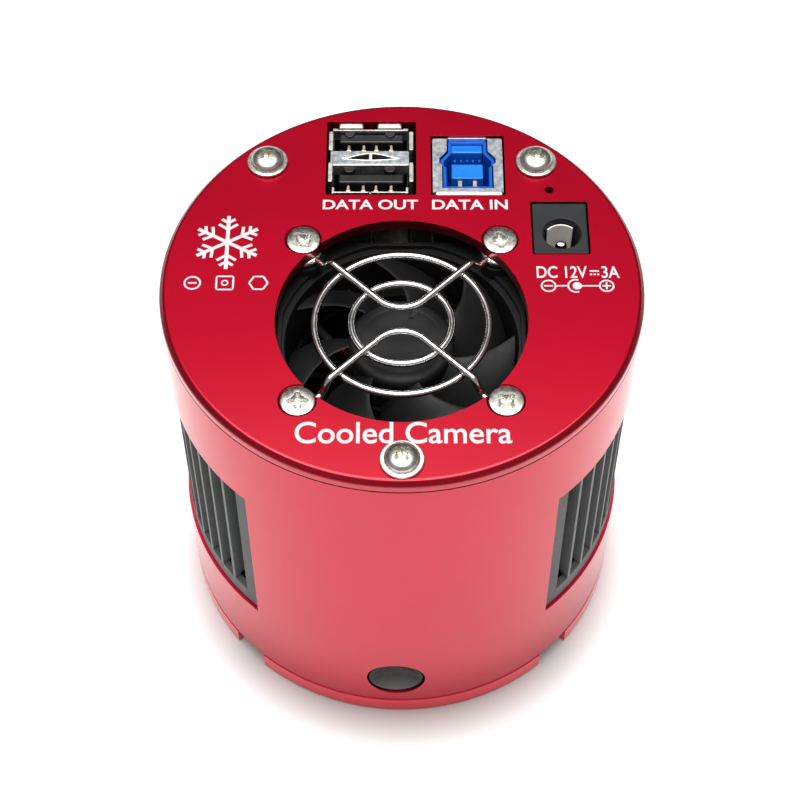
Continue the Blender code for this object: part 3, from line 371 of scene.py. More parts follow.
def prism(name, outlines, low, high, at=(0, 0), turn=0.0):
    """Extrude flat outlines, turned by an angle in degrees and then moved to a place."""
    bm = bmesh.new()
    c, s = cos(radians(turn)), sin(radians(turn))
    for outline in outlines:
        face = bm.faces.new([bm.verts.new((at[0] + x * c - y * s, at[1] + x * s + y * c, low))
                             for x, y in outline])
        raised = bmesh.ops.extrude_face_region(bm, geom=[face])["geom"]
        moved = [part for part in raised if isinstance(part, bmesh.types.BMVert)]
        bmesh.ops.translate(bm, vec=(0, 0, high - low), verts=moved)
    return from_bmesh(name, bm)


def polar(radius, angle):
    return radius * cos(radians(angle)), radius * sin(radians(angle))


def arc(centre, radius, start, end, steps):
    spots = [polar(radius, start + (end - start) * i / steps) for i in range(steps + 1)]
    return [(centre[0] + x, centre[1] + y) for x, y in spots]


def sector(inner, outer, start, end, steps):
    """Outline of a part of a ring, between two angles in degrees."""
    return arc((0, 0), outer, start, end, steps) + arc((0, 0), inner, end, start, steps)


def rounded(half_x, half_y, radius, centre=(0, 0), steps=6):
    """Outline of a rectangle with round corners."""
    x, y = half_x - radius, half_y - radius
    outline = []
    for sx, sy, start in ((1, 1, 0), (-1, 1, 90), (-1, -1, 180), (1, -1, 270)):
        outline += arc((centre[0] + sx * x, centre[1] + sy * y), radius, start, start + 90, steps)
    return outline


def ring(inner, outer, low, high):
    """Profile of a plain ring, or of a disc where the inner radius is 0."""
    return [(inner, high), (outer, high), (outer, low), (inner, low)]


def shoulder(radius, top, round_off, step):
    """Profile of a rounded upper corner, with a point each step in degrees."""
    return [(radius - round_off + round_off * sin(radians(a)),
             top - round_off + round_off * cos(radians(a))) for a in range(0, 91, step)]


def eased(points, reach, steps=6):
    """A path whose inner corners are swept round, starting a reach before each."""
    path = [tuple(points[0])]
    for before, corner, after in zip(points, points[1:], points[2:]):
        before, corner, after = Vector(before), Vector(corner), Vector(after)
        start = corner + (before - corner).normalized() * reach
        end = corner + (after - corner).normalized() * reach
        for step in range(steps + 1):
            share = step / steps
            path.append(tuple(start * (1 - share) ** 2 + corner * 2 * share * (1 - share)
                              + end * share ** 2))
    return path + [tuple(points[-1])]


def wire(name, points, radius, closed=False, smooth=True):
    """A round wire along points, as a mesh."""
    curve = bpy.data.curves.new(name, "CURVE")
    curve.dimensions = "3D"
    curve.bevel_depth = radius * MM
    curve.bevel_resolution = 5
    curve.resolution_u = 6
    curve.use_fill_caps = True
    spline = curve.splines.new("NURBS" if smooth else "POLY")
    spline.points.add(len(points) - 1)
    for point, place in zip(spline.points, points):
        point.co = (*(Vector(place) * MM), 1)
    spline.use_cyclic_u = closed
    spline.use_endpoint_u = not closed
    spline.order_u = 4
    return solid(linked(name, curve))


def solid(obj):
    """Swap an object for a plain mesh of what its modifiers or curve make."""
    bpy.context.view_layer.update()
    graph = bpy.context.evaluated_depsgraph_get()
    mesh = bpy.data.meshes.new_from_object(obj.evaluated_get(graph))
    name, place = obj.name, obj.matrix_world.copy()
    bpy.data.objects.remove(obj, do_unlink=True)
    mesh.transform(place)
    made = linked(name, mesh)
    made.name = mesh.name = name
    return made


def combine(target, operation, tools):
    for tool in tools:
        step = target.modifiers.new(tool.name, "BOOLEAN")
        step.operation, step.solver, step.object = operation, "EXACT", tool
    made = solid(target)
    for tool in tools:
        bpy.data.objects.remove(tool, do_unlink=True)
    return made


def cut(target, *tools):
    return combine(target, "DIFFERENCE", tools)


def fuse(target, *tools):
    return combine(target, "UNION", tools)


def joined(name, pieces):
    """Join pieces that only touch into one object."""
    bm = bmesh.new()
    for piece in pieces:
        bm.from_mesh(piece.data)
    mesh = bpy.data.meshes.new(name)
    bm.to_mesh(mesh)
    bm.free()
    for piece in pieces:
        bpy.data.objects.remove(piece, do_unlink=True)
    return linked(name, mesh)


def softened(obj, width=EDGE, segments=2, angle=32):
    """Round the sharp edges a little and shade the rest smooth."""
    bm = bmesh.new()
    bm.from_mesh(obj.data)
    bmesh.ops.remove_doubles(bm, verts=bm.verts, dist=0.00001)
    bmesh.ops.dissolve_degenerate(bm, edges=bm.edges, dist=0.000005)
    bmesh.ops.recalc_face_normals(bm, faces=bm.faces)
    bm.to_mesh(obj.data)
    bm.free()
    obj.data.shade_smooth()
    obj.data.set_sharp_from_angle(angle=radians(angle))
    if width:
        step = obj.modifiers.new("soft_edges", "BEVEL")
        step.width = width * MM
        step.segments = segments
        step.limit_method = "ANGLE"
        step.angle_limit = radians(angle)
        step.use_clamp_overlap = True
        step.miter_outer = "MITER_ARC"
    even = obj.modifiers.new("even_normals", "WEIGHTED_NORMAL")
    even.weight = 60
    even.keep_sharp = True
    return solid(obj)


def smooth_wire(name, points, radius):
    return softened(wire(name, points, radius), 0, angle=60)


def piece(obj, nodes, slot, surface, body=BODY):
    """Give a finished piece its material, and let it ride on a body and stand for CAD nodes."""
    obj.data.materials.clear()
    obj.data.materials.append(surface.material)
    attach(obj, body)
    if nodes:
        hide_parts(*nodes)
    return obj


# ---- casing and its cover

def countersink(at, face, side=1):
    """Cutter for a countersunk screw that goes into a face from above (1) or below (-1)."""
    rim, hole = 3.05, SCREW_HOLE
    profile = [(0, 0.5), (rim, 0.5), (rim, -0.3), (hole, -1.65), (hole, -4.0), (0, -4.0)]
    return turned("countersink", [(r, face + side * z) for r, z in profile], at, steps=48)


def fan_screw_places():
    return [(FAN.x + sx * FAN_SCREW_OFFSET, FAN.y + sy * FAN_SCREW_OFFSET)
            for sx, sy in ((-1, 1), (1, 1), (-1, -1), (1, -1))]


def cover_screw_places():
    return [centre_of(f"cover_screw_{number}") for number in (1, 2, 3)]


def screw_holes(places, low, high):
    return [cylinder("screw_hole", SCREW_HOLE, low, high, at, steps=32) for at in places]


def opening(node, size, corner=0.35):
    """Cutter for a socket's opening in the cover."""
    return prism("opening", [rounded(size[0] / 2, size[1] / 2, corner)], COVER_LOW - PAST,
                 COVER_HIGH + PAST, centre_of(node))


def rear_cover():
    r, slope = BODY_RADIUS, COVER_CHAMFER
    edge = eased([(0, COVER_HIGH), (r - slope, COVER_HIGH), (r, COVER_HIGH - slope),
                  (r, COVER_LOW)], 0.3)
    cover = turned("cover", edge + [(0, COVER_LOW)], steps=FINE)
    low, high = COVER_LOW - PAST, COVER_HIGH + PAST
    cutters = [cylinder("fan_hole", FAN_HOLE, low, high, FAN.xy, steps=128),
               opening("usb_output_shell", USB_OUTPUT_OPENING),
               opening("usb_input_shell", USB_INPUT_OPENING),
               opening("power_jack_body", JACK_OPENING, 0.25),
               cylinder("light_hole", LIGHT_HOLE, low, high, LIGHT_AT, steps=32)]
    cutters += [countersink(at, COVER_HIGH) for at in fan_screw_places()]
    cutters += screw_holes(cover_screw_places(), low, high)
    piece(softened(cut(cover, *cutters), 0.1, 3), ["rear_cover"], "red_anodised", RED)


def along_plug(obj):
    """Turn a piece made round the Z axis so that its top faces -Y at the plug's place."""
    place = Matrix.Translation((PLUG_AT.x * MM, 0, PLUG_AT.z * MM))
    obj.data.transform(place @ Matrix.Rotation(radians(90), 4, "X"))
    return obj


def plug_bore():
    return along_plug(cylinder("plug_bore", PLUG_HOLE, 0, BODY_RADIUS + PAST, steps=64))


def casing():
    shell = turned("casing", ring(WALL_INNER, BODY_RADIUS, CASING_LOW, CASING_HIGH), steps=FINE)
    half = WINDOW_HALF_ANGLE
    windows = [prism("window", [sector(WALL_INNER - 2, BODY_RADIUS + 2, turn - half, turn + half,
                                       48)], WINDOW_LOW, WINDOW_HIGH) for turn in (0, 180)]
    shell = cut(shell, plug_bore(), *windows)
    bosses = [cylinder("boss", BOSS_RADIUS, BOSS_LOW, CASING_HIGH, at, steps=48)
              for at in cover_screw_places()]
    shell = fuse(shell, *bosses)
    shell = cut(shell, *screw_holes(cover_screw_places(), BOSS_LOW + 2, CASING_HIGH + PAST))
    piece(softened(shell, 0.12, 3), ["casing_shell"], "red_anodised", RED_SIDE_LIT)


def front_plate():
    """Flange with a threaded bore, tool notches and countersunk screws."""
    thread = []
    height = 0.25
    while height + THREAD_PITCH < PLATE_HIGH:
        thread += [(THREAD_RADIUS, height), (THREAD_RADIUS + 0.4, height + THREAD_PITCH / 2)]
        height += THREAD_PITCH
    thread.append((THREAD_RADIUS, height))
    edge = 0.4
    plate = turned("flange", [(THREAD_RADIUS + 0.3, 0)] + thread + [
        (THREAD_RADIUS, PLATE_HIGH), (BODY_RADIUS - edge, PLATE_HIGH),
        (BODY_RADIUS, PLATE_HIGH - edge), (BODY_RADIUS, edge), (BODY_RADIUS - edge, 0)],
        steps=FINE)
    half = NOTCH_WIDTH / 2
    notches = [prism("notch", [arc((0, 0), half, 90, 270, 24) + [(9, -half), (9, half)]], -PAST,
                     PLATE_HIGH + PAST, polar(BODY_RADIUS - NOTCH_DEPTH + half, turn), turn)
               for turn in (45, 135, 225, 315)]
    holes = [countersink(centre_of(f"front_plate_screw_{number}"), 0, -1)
             for number in (1, 2, 3, 4)]
    piece(softened(cut(plate, *notches, *holes), 0.1, 2), ["front_plate"], "red_anodised",
          RED_FOOT_LIT)


def vent_grille(node, turn):
    """Slatted wall behind a side window; the slots run up behind the window's top edge."""
    low, high = span(node)
    edge = WINDOW_HALF_ANGLE - degrees(0.3 / BODY_RADIUS)
    wide, inside, outside = edge + 4, 34.0, 41.0

    def curved(name, inner, outer, half, bottom, top):
        return prism(name, [sector(inner, outer, turn - half, turn + half, 72)], bottom, top)

    wall = curved("grille", 35.0, 38.5, edge, low.z, high.z)
    foot = curved("foot", inside, 37.3, wide, low.z - PAST, GRILLE_SILL)
    crown = curved("crown", WALL_INNER - 0.3, outside, wide, WINDOW_HIGH - 0.3, high.z + PAST)
    pitch, count, slat = 5.45, 17, 1.0     # degrees
    half = (pitch - slat) / 2
    centres = [turn + (number - (count - 1) / 2) * pitch for number in range(count)]
    slots = [sector(inside, outside, centre - half, centre + half, 2) for centre in centres]
    slits = prism("slits", slots, GRILLE_SILL - 0.5, high.z - 1.6)
    piece(softened(cut(wall, foot, crown, slits), 0.09, 2), [node], "grey_plastic", GREY)


# ---- screws

def cross_cutter(face, reach, half_width, depth, turn, at, side=1):
    """Screwdriver cross: four round-ended lobes that draw in towards a deep middle."""
    arms, draw_in = [], 0.55
    for number in range(2):
        outline = arc((reach - half_width, 0), half_width, -90, 90, 8)
        outline += arc((half_width - reach, 0), half_width, 90, 270, 8)
        low, high = sorted((face - side * depth, face + side * 0.5))
        arm = prism("arm", [outline], low, high, at, turn + 90 * number)
        for vert in arm.data.vertices:
            if (vert.co.z / MM - face) * side < 0:
                vert.co.x = at[0] * MM + (vert.co.x - at[0] * MM) * draw_in
                vert.co.y = at[1] * MM + (vert.co.y - at[1] * MM) * draw_in
        arms.append(arm)
    heights = [(0, 0.5), (half_width * 2.6, 0.5), (half_width * 2.0, 0), (0.2, -depth * 1.3),
               (0, -depth * 1.3)]
    cone = turned("cone", [(r, face + side * z) for r, z in heights], at, steps=24)
    return arms + [cone]


def flat_screw(node, side, turn):
    """Countersunk screw whose head faces up (1) or down (-1)."""
    low, high = span(node)
    at = centre_of(node)
    face = high.z if side > 0 else low.z
    length = high.z - low.z
    profile = [(0, 0), (2.55, 0), (2.68, -0.05), (2.75, -0.16), (2.75, -0.25), (1.4, -1.6),
               (1.4, -length), (0, -length)]
    screw = turned("head", [(r, face + side * z) for r, z in profile], at)
    screw = cut(screw, *cross_cutter(face, 2.0, 0.6, 0.95, turn, at, side))
    piece(softened(screw, 0.06, 3, 25), [node], "steel", SCREW_STEEL)


def pan_screw(node, turn, head=2.75, height=1.5, shank=1.4):
    """Screw with a domed head, top down."""
    low, high = span(node)
    at = centre_of(node)
    dome = [(head * sin(radians(a)) ** 0.76, high.z - height * 0.88 * (1 - cos(radians(a))))
            for a in range(0, 91, 9)]
    dome[0] = (0, high.z)
    profile = dome + [(head, high.z - height), (shank, high.z - height), (shank, low.z),
                      (0, low.z)]
    screw = turned("pan", profile, at)
    screw = cut(screw, *cross_cutter(high.z, head * 0.66, 0.46, 1.25, turn, at))
    piece(softened(screw, 0.07, 3, 28), [node], "steel", STEEL)


def washer(node):
    low, high = span(node)
    at = centre_of(node)
    flat = turned("washer", ring(SCREW_HOLE, high.x - at[0], low.z, high.z), at)
    piece(softened(flat, 0.12, 3), [node], "steel", STEEL)


def screws():
    for number, turn in ((1, 40), (2, 8), (3, 2), (4, 42)):
        flat_screw(f"fan_screw_{number}", 1, turn)
        flat_screw(f"front_plate_screw_{number}", -1, 17 * number)
    for number, turn in ((1, 28), (2, 62), (3, 40)):
        pan_screw(f"cover_screw_{number}", turn)
        washer(f"cover_washer_{number}")
    for number in (1, 2, 3):
        pan_screw(f"board_screw_{number}", 30 * number, 2.2, 1.3, 1.2)


# ---- fan

def fan_frame():
    low, high = span("fan_frame")
    side = (high.x - low.x) / 2
    lip_top, strut_top = 69.5, 61.0
    frame = prism("frame", [rounded(side, side, 3.0, steps=10)], low.z, lip_top, FAN.xy)
    circle = arc((0, 0), 19.9, 0, 354, 118)
    limit = 19.3
    lip = [(max(-limit, min(limit, x)), max(-limit, min(limit, y))) for x, y in circle]
    frame = cut(frame, cylinder("bore", 18.9, low.z - PAST, lip_top + PAST, FAN.xy, steps=128),
                prism("lip", [lip], lip_top - 1.0, lip_top + PAST, FAN.xy))
    extras = [cylinder("motor_base", 9.0, low.z, strut_top, FAN.xy, steps=64)]
    strut = [(19.2, 0.9), (8.0, 0.9), (8.0, -0.9), (19.2, -0.9)]
    extras += [prism("strut", [strut], low.z, strut_top, FAN.xy, turn)
               for turn in (30, 120, 210, 300)]
    extras += [cylinder("post", 3.4, lip_top - 0.5, high.z, at, steps=48)
               for at in fan_screw_places()]
    frame = fuse(frame, *extras)
    frame = cut(frame, *screw_holes(fan_screw_places(), low.z - PAST, high.z + PAST))
    piece(softened(frame, 0.12, 3), ["fan_frame"], "black_plastic", FAN_BLACK)


def fan_blade(turn):
    """One blade: a twisted, arched sheet that is thinner towards its tip."""
    across, along = 16, 22
    root, tip = 8.1, 18.3
    top, bottom, sweep, reach = 68.4, 61.8, 26.0, 42.0
    bm = bmesh.new()
    sides = []
    for side in (1, -1):
        grid = []
        for i in range(across + 1):
            share = i / across
            radius = root + (tip - root) * share
            row = []
            for j in range(along + 1):
                step = j / along
                trim = 1 - 0.10 * share ** 6
                angle = turn + sweep * share ** 1.3 + reach * trim * (0.5 - step)
                thick = (0.46 - 0.16 * share) * (4 * step * (1 - step)) ** 0.35
                arch = 0.9 * sin(pi * step)
                x, y = polar(radius, angle)
                row.append(bm.verts.new((FAN.x + x, FAN.y + y,
                                         top + (bottom - top) * step + arch + side * thick)))
            grid.append(row)
        sides.append(grid)
        for i in range(across):
            for j in range(along):
                bm.faces.new((grid[i][j], grid[i + 1][j], grid[i + 1][j + 1], grid[i][j + 1]))
    upper, lower = sides
    for end in (0, across):
        for j in range(along):
            bm.faces.new((upper[end][j], upper[end][j + 1], lower[end][j + 1], lower[end][j]))
    bmesh.ops.remove_doubles(bm, verts=bm.verts, dist=0.001)
    return from_bmesh("blade", bm)


def fan_rotor():
    top, low = 69.0, 61.6
    radius, wall, blades = 8.6, 0.8, 7
    profile = [(0, top - 0.12), (6.3, top - 0.12), (6.5, top)] + shoulder(radius, top, 1.1, 10) + [
        (radius, low), (radius - wall, low), (radius - wall, top - 1.0), (0, top - 1.0)]
    hub = turned("hub", profile, FAN.xy, steps=128)
    marks = [cylinder("mark", 0.45, top - 0.3, top + PAST, (FAN.x + x, FAN.y + y), steps=24)
             for x, y in (polar(4.6, a) for a in (70, 190, 310))]
    hub = cut(hub, *marks)
    hub = fuse(hub, *[fan_blade(11 + 360 / blades * number) for number in range(blades)])
    piece(softened(hub, 0.05, 2, 40), ["fan_rotor"], "black_plastic", FAN_BLACK, ROTOR)


def finger_guard():
    """Two rings, two bent arms that cross them, and an eye round each fan screw."""
    radius = 0.6
    ring_z, arm_z, eye_z, eye = 73.5, 74.45, 71.9, 2.5
    centre_x, centre_y = FAN.xy

    def circle(size, at, height, steps):
        return [(at[0] + size * cos(2 * pi * i / steps), at[1] + size * sin(2 * pi * i / steps),
                 height) for i in range(steps)]

    wires = [wire("ring", circle(size, (centre_x, centre_y), ring_z, 120), radius, closed=True,
                  smooth=False) for size in (13.9, 8.0)]
    bend, offset = 5.0, 0.3
    vertex = offset + bend * sqrt(2)
    for side in (1, -1):
        half = [(bend * sin(radians(a)), vertex - bend * cos(radians(a)), arm_z)
                for a in range(0, 46, 3)]
        start, end = 15.6, 18.4
        reaches = [start + (end - start) * i / 14 for i in range(15)]
        reaches.append(FAN_SCREW_OFFSET * sqrt(2) - eye)
        for reach in reaches:
            share = min(1.0, (reach - start) / (end - start))
            fall = share * share * (3 - 2 * share)
            half.append(((reach - offset / sqrt(2)) / sqrt(2), reach / sqrt(2) + offset / 2,
                         arm_z + (eye_z - arm_z) * fall))
        path = [(-x, y, z) for x, y, z in reversed(half[1:])] + half
        wires.append(wire("arm", [(centre_x + x, centre_y + side * y, z) for x, y, z in path],
                          radius, smooth=False))
    wires += [wire("eye", circle(eye, at, eye_z, 48), radius, closed=True, smooth=False)
              for at in fan_screw_places()]
    guard = joined("guard", wires)
    piece(softened(guard, 0, angle=60), ["finger_guard"], "chrome", CHROME)


def fan_lead():
    """The fan's lead: bare red where it leaves the motor, then in a black sleeve."""
    points = [(-8.6, -3.0, 58.6), (-10.5, -1.6, 58.6), (-12.5, 0.6, 58.5), (-14.6, 4.0, 58.2),
              (-16.6, 8.0, 57.8), (-18.5, 12.0, 57.7), (-20.0, 15.0, 57.7)]
    piece(smooth_wire("lead", points[:4], 0.55), ["fan_lead"], "red_wire", WIRE_RED)
    piece(smooth_wire("lead_sleeve", points[1:], 0.75), [], "rubber", RUBBER)


# ---- output sockets

def bar(low, high, z_low, z_high, corner=0.1):
    """A flat bar with round corners between two (x, y) corners."""
    half = (Vector(high) - Vector(low)) / 2
    centre = (Vector(high) + Vector(low)) / 2
    corner = min(corner, half.x * 0.95, half.y * 0.95)
    return prism("bar", [rounded(half.x, half.y, corner, tuple(centre))], z_low, z_high)


def bar_at(at, x_low, x_high, y_low, y_high, z_low, z_high, corner=0.1):
    """A bar whose sides are given from a socket's middle."""
    return bar((at[0] + x_low, at[1] + y_low), (at[0] + x_high, at[1] + y_high), z_low, z_high,
               corner)


def usb_output():
    """Two stacked mouths in a tin can, with rolled tabs, side flanges and a sprung divider."""
    low, high = span("usb_output_shell")
    at, deep, top = centre_of("usb_output_shell"), low.z, high.z
    half = (high.x - low.x) / 2
    left, right = 0.7 - half, half - 1.0

    def strip(x_low, x_high, y_low, y_high, sunk, corner=0.1):
        """A bar from the can's floor to a little below its top."""
        return bar_at(at, x_low, x_high, y_low, y_high, deep, top - sunk, corner)

    def bow(rim, sunk, radius):
        return smooth_wire("bow", [(at[0] + x, at[1] + y, top - sunk) for x, y in rim], radius)

    tin = [strip(left, right, 6.8, 7.1, 0.3), strip(left, left + 0.9, 7.1, 7.5, 0.5),
           strip(right - 0.9, right, 7.1, 7.5, 0.5)]
    flanges = [strip(start, start + 0.8, near, far, 0.05, 0.3)
               for near, far in ((2.2, 6.45), (-4.9, -0.6)) for start in (-half, half - 0.9)]
    tin += [strip(left, -0.45, -7.35, -7.05, 0.1), strip(0.2, right, -7.35, -7.05, 0.1),
            strip(left, left + 0.45, -7.4, -6.1, 0.15),
            strip(right - 0.45, right, -7.4, -6.1, 0.15)]
    seam = [(-0.5, -7.0), (-0.1, -7.65), (0.3, -7.0), (0.08, -7.0), (-0.1, -7.32), (-0.28, -7.0)]
    tin.append(prism("seam", [seam], deep, top - 0.1, at))
    frame_parts = [softened(part, 0.06) for part in tin]

    plate = bar_at(at, 0.35 - half, half - 0.85, -0.95, 2.3, top - 6, top - 0.45, 0.3)
    base, reach, rise, fall, shift = 0.55, 4.85, 1.15, 0.35, -0.1
    far_rim = [(shift + reach * step / 12, base + rise * cos(pi / 2 * step / 12) ** 1.5)
               for step in range(-12, 13)]
    near_rim = [(shift + reach * step / 12, base - fall * cos(pi / 2 * step / 12))
                for step in range(11, -12, -1)]
    gap = prism("gap", [far_rim + near_rim], top - 7, top + PAST, at)
    plate = softened(cut(plate, gap), 0.06)
    spring = [bow(far_rim, 0.45, 0.16), bow(near_rim, 0.5, 0.13)]
    stem = bar_at(at, shift - 0.32, shift + 0.28, base - 0.3, base + rise, top - 1.5, top - 0.4)
    spring.append(softened(stem, 0.1))
    fold = bar_at(at, 0.45 - half, half - 0.95, -1.1, -0.65, top - 2, top - 0.25, 0.2)
    spring.append(softened(fold, 0.12, 3))
    piece(plate, [], "socket_shell", GALVANISED)
    frame_parts += [softened(part, 0.1, 3) for part in flanges]
    piece(joined("output_can", frame_parts), ["usb_output_shell"], "socket_shell", TIN)
    tabs = [softened(bar_at(at, start, end, 6.95, 8.1, top - 1.0, top + 0.25, 0.3), 0.3, 4)
            for start, end in ((-5.53, -1.38), (1.02, 5.12))]
    piece(joined("output_springs", spring + tabs), [], "socket_shell", BRIGHT_TIN)

    block = bar((low.x + 0.75, low.y + 0.75), (high.x - 1.05, high.y - 0.5), deep + 0.2, top - 2.4)
    pockets = [bar_at(at, left + 0.2, right - 0.2, near, far, top - 10, top + PAST)
               for near, far in ((-6.95, -1.2), (2.3, 6.7))]
    block = softened(cut(block, *pockets), 0.05)
    bumps = [softened(cylinder("bump", 0.95, top - 3, top - 0.6, (at[0] + x, at[1] + y),
                               steps=40), 0.15, 3) for y in (6.6, -1.4) for x in (-3.7, 3.15)]
    piece(joined("output_block", [block] + bumps), [], "black_plastic", BLACK)

    gold = []
    outline = [(0.24, 1.35), (-0.24, 1.35), (-0.27, 0.5), (-0.45, 0), (0.45, 0), (0.27, 0.5)]
    for node in ("usb_output_tongue_upper", "usb_output_tongue_lower"):
        near, far = span(node)
        tongue = bar(near.xy, far.xy, near.z, far.z, 0.3)
        piece(softened(tongue, 0.3, 4), [node], "black_plastic", BLACK)
        gold += [softened(prism("contact", [outline], near.z + 1, far.z - 0.45,
                                (at[0] + x, near.y - 1.55)), 0.09, 3)
                 for x in (-3.83, -1.3, 0.83, 3.35)]
    piece(joined("output_contacts", gold), [], "brass", GOLD)


# ---- input socket

def mouth(inset):
    """Outline of the input socket's mouth, drawn in by a distance."""
    narrow, wide, waist, slip = 3.45 - inset, 4.75 - inset, 4.3 - inset, inset * 0.4
    right = [(waist, -4.75 + inset), (waist, 0.5 - slip), (wide, 0.9 - slip), (wide, 1.9 - slip),
             (narrow, 3.6 - slip), (narrow, 6.25 - inset)]
    return right + [(-x, y) for x, y in reversed(right)]


def usb_input():
    """A galvanised can round a blue body with a wide and a narrow tongue."""
    low, high = span("usb_input_shell")
    near, far = span("usb_input_insulator")
    at = centre_of("usb_input_shell")
    top, front, back = high.z, low.y - at[1], high.y - at[1]
    can = bar(low.xy, high.xy, low.z, top, 0.35)
    far_gap = bar_at(at, -3.1, 3.1, 5.5, back + PAST, top - 0.9, top + PAST)
    corners = [bar_at(at, x - 0.75, x + 0.75, front - 0.5, front + 0.7, top - 1.5, top + PAST)
               for x in (-5.9, 5.9)]
    can = cut(can, prism("mouth", [mouth(0)], top - 11, top + PAST, at), far_gap, *corners)
    piece(softened(can, 0.1), ["usb_input_shell"], "socket_shell", GALVANISED)
    sill = bar((low.x + 0.4, low.y + 0.05), (high.x - 0.15, low.y + 1.05), top - 2, top + 0.12,
               0.35)
    piece(softened(sill, 0.3, 4), [], "socket_shell", BRIGHT_TIN)

    blue = prism("insulator", [mouth(0.2)], near.z, far.z + 0.1, at)
    blue = cut(blue, prism("inner", [mouth(0.75)], near.z + 2.0, far.z + PAST, at))
    wall = bar_at(at, -3.1, 3.1, 5.6, back, near.z + 2, top - 0.25)
    piece(joined("input_body", [softened(blue, 0.12, 3), softened(wall, 0.1)]),
          ["usb_input_insulator"], "blue_plastic", BLUE)
    hem = bar_at(at, -3.2, 3.2, back, back + 0.2, top - 1, top, 0.05)
    piece(softened(hem, 0.05), [], "socket_shell", BRIGHT_TIN)
    wide = bar_at(at, -2.7, 2.6, -2.1, 1.1, near.z + 1.5, far.z - 0.1, 0.2)
    narrow = bar_at(at, -2.8, 2.6, 3.7, 5.5, near.z + 1.5, far.z - 0.15, 0.25)
    piece(softened(wide, 0.16, 3), [], "blue_plastic", LIGHT_BLUE)
    piece(softened(narrow, 0.3, 4), [], "blue_plastic", MID_BLUE)
    tips = [softened(bar_at(at, x - 0.2, x + 0.2, 2.7, 3.2, near.z + 2.0, far.z - 1.3), 0.06)
            for x in (-2.1, -1.0, 0.0, 1.0, 2.1)]
    piece(joined("input_tips", tips), [], "blue_plastic", BLUE)
    pins = [softened(bar_at(at, x - 0.4, x + 0.4, -4.1, -2.2, near.z + 2.0, far.z - 0.5), 0.1)
            for x in (-1.3, 1.2)]
    piece(joined("input_contacts", pins), [], "brass", GOLD)


# ---- power jack

def power_jack():
    """A black block whose barrel is lined with a thin darker sheet as painted shade, a centre pin
    and a spring contact.
    """
    low, high = span("power_jack_body")
    top, radius = high.z, 3.15
    body = bar(low.xy, high.xy, low.z, top, 0.3)
    barrel = turned("barrel", [(0, top + 0.5), (radius + 0.15, top + 0.5), (radius + 0.15, top),
                               (radius, top - 0.15), (radius, top - 9.5), (0, top - 9.5)],
                    JACK_BARREL, steps=96)
    piece(softened(cut(body, barrel), 0.12, 3), ["power_jack_body"], "black_plastic", JACK_BLACK)
    # A thin sheet of darker plastic just inside the barrel's wall: painted shade in the barrel
    outer, inner, rim = radius - 0.02, radius - 0.08, top - 0.35
    shade_sheet = turned("jack_painted_shade", [(outer, rim), (outer, top - 9.4), (0, top - 9.4),
                                    (0, top - 9.3), (inner, top - 9.3), (inner, rim)],
                    JACK_BARREL, steps=96)
    piece(softened(shade_sheet, 0), [], "black_plastic", FAN_BLACK)

    near, far = span("power_jack_pin")
    radius = 1.0
    tip = [(0, far.z), (0.62, far.z), (0.72, far.z - 0.06), (0.78, far.z - 0.2),
           (radius - 0.04, far.z - 0.62), (radius, far.z - 0.8)]
    pin = turned("pin", tip + [(radius, near.z), (0, near.z)], JACK_BARREL, steps=48)
    piece(softened(pin, 0.03), ["power_jack_pin"], "steel", CHROME)
    low, high = span("power_jack_spring")
    spring = prism("spring", [sector(2.68, 2.95, 47, 143, 24)], low.z, high.z, JACK_BARREL)
    piece(softened(spring, 0.08, 3), ["power_jack_spring"], "socket_shell", SPECKLED_TIN)


def status_light():
    low, high = span("status_light")
    radius = (high.x - low.x) / 2
    light = turned("light", [(0, high.z)] + [
        (radius * sin(radians(a)), high.z - 0.3 * (1 - cos(radians(a)))) for a in (30, 60, 90)]
        + [(radius, low.z), (0, low.z)], LIGHT_AT, steps=32)
    piece(softened(light, 0, angle=60), ["status_light"], "light_guide", LIGHT)


# ---- plug

def plug():
    """A dished disc with a rounded rim and a groove for its O-ring."""
    low, high = span("desiccant_plug")
    radius = (high.x - low.x) / 2
    face, end = -low.y, -high.y
    dish = [(radius * 0.92 * step / 12, face - 1.15 * (1 - (step / 12) ** 2))
            for step in range(13)]
    groove, half, depth = face - 4.6, 0.65, 3.65
    body = turned("plug", dish + shoulder(radius, face, 0.35, 15) + [
        (radius, groove + half), (depth, groove + half), (depth, groove - half),
        (radius, groove - half), (radius, end), (0, end)], steps=96)
    piece(softened(along_plug(body), 0.04), ["desiccant_plug"], "dark_plug", PLUG_GREY, PLUG)


# ---- front window

def front_window():
    """Window glass, its slotted retaining ring and its gasket."""
    low, high = span("window_glass")
    glass = turned("glass", ring(0, high.x, low.z, high.z), steps=128)
    piece(softened(glass, 0.15, 2), ["window_glass"], "coated_glass", GLASS)
    low, high = span("window_retainer")
    outer, lip = high.x, 1.9
    band = turned("retainer", [(outer, low.z), (outer, high.z), (16.3, high.z), (16.3, lip),
                               (14.6, lip), (14.6, low.z + 0.4), (15.0, low.z)], steps=128)
    slots = [prism("slot", [[(18.5, 0.8), (15.6, 0.8), (15.6, -0.8), (18.5, -0.8)]], low.z - PAST,
                   low.z + 0.35, (0, 0), turn) for turn in (0, 90, 180, 270)]
    piece(softened(cut(band, *slots)), ["window_retainer"], "black_anodised", DARK_METAL)
    low, high = span("window_gasket")
    gasket = turned("gasket", ring(14.4, high.x, low.z, high.z), steps=128)
    piece(softened(gasket, 0.03), ["window_gasket"], "rubber", RUBBER)


# ---- prints

INK_LOW, INK_HIGH = COVER_HIGH + 0.004, COVER_HIGH + 0.03


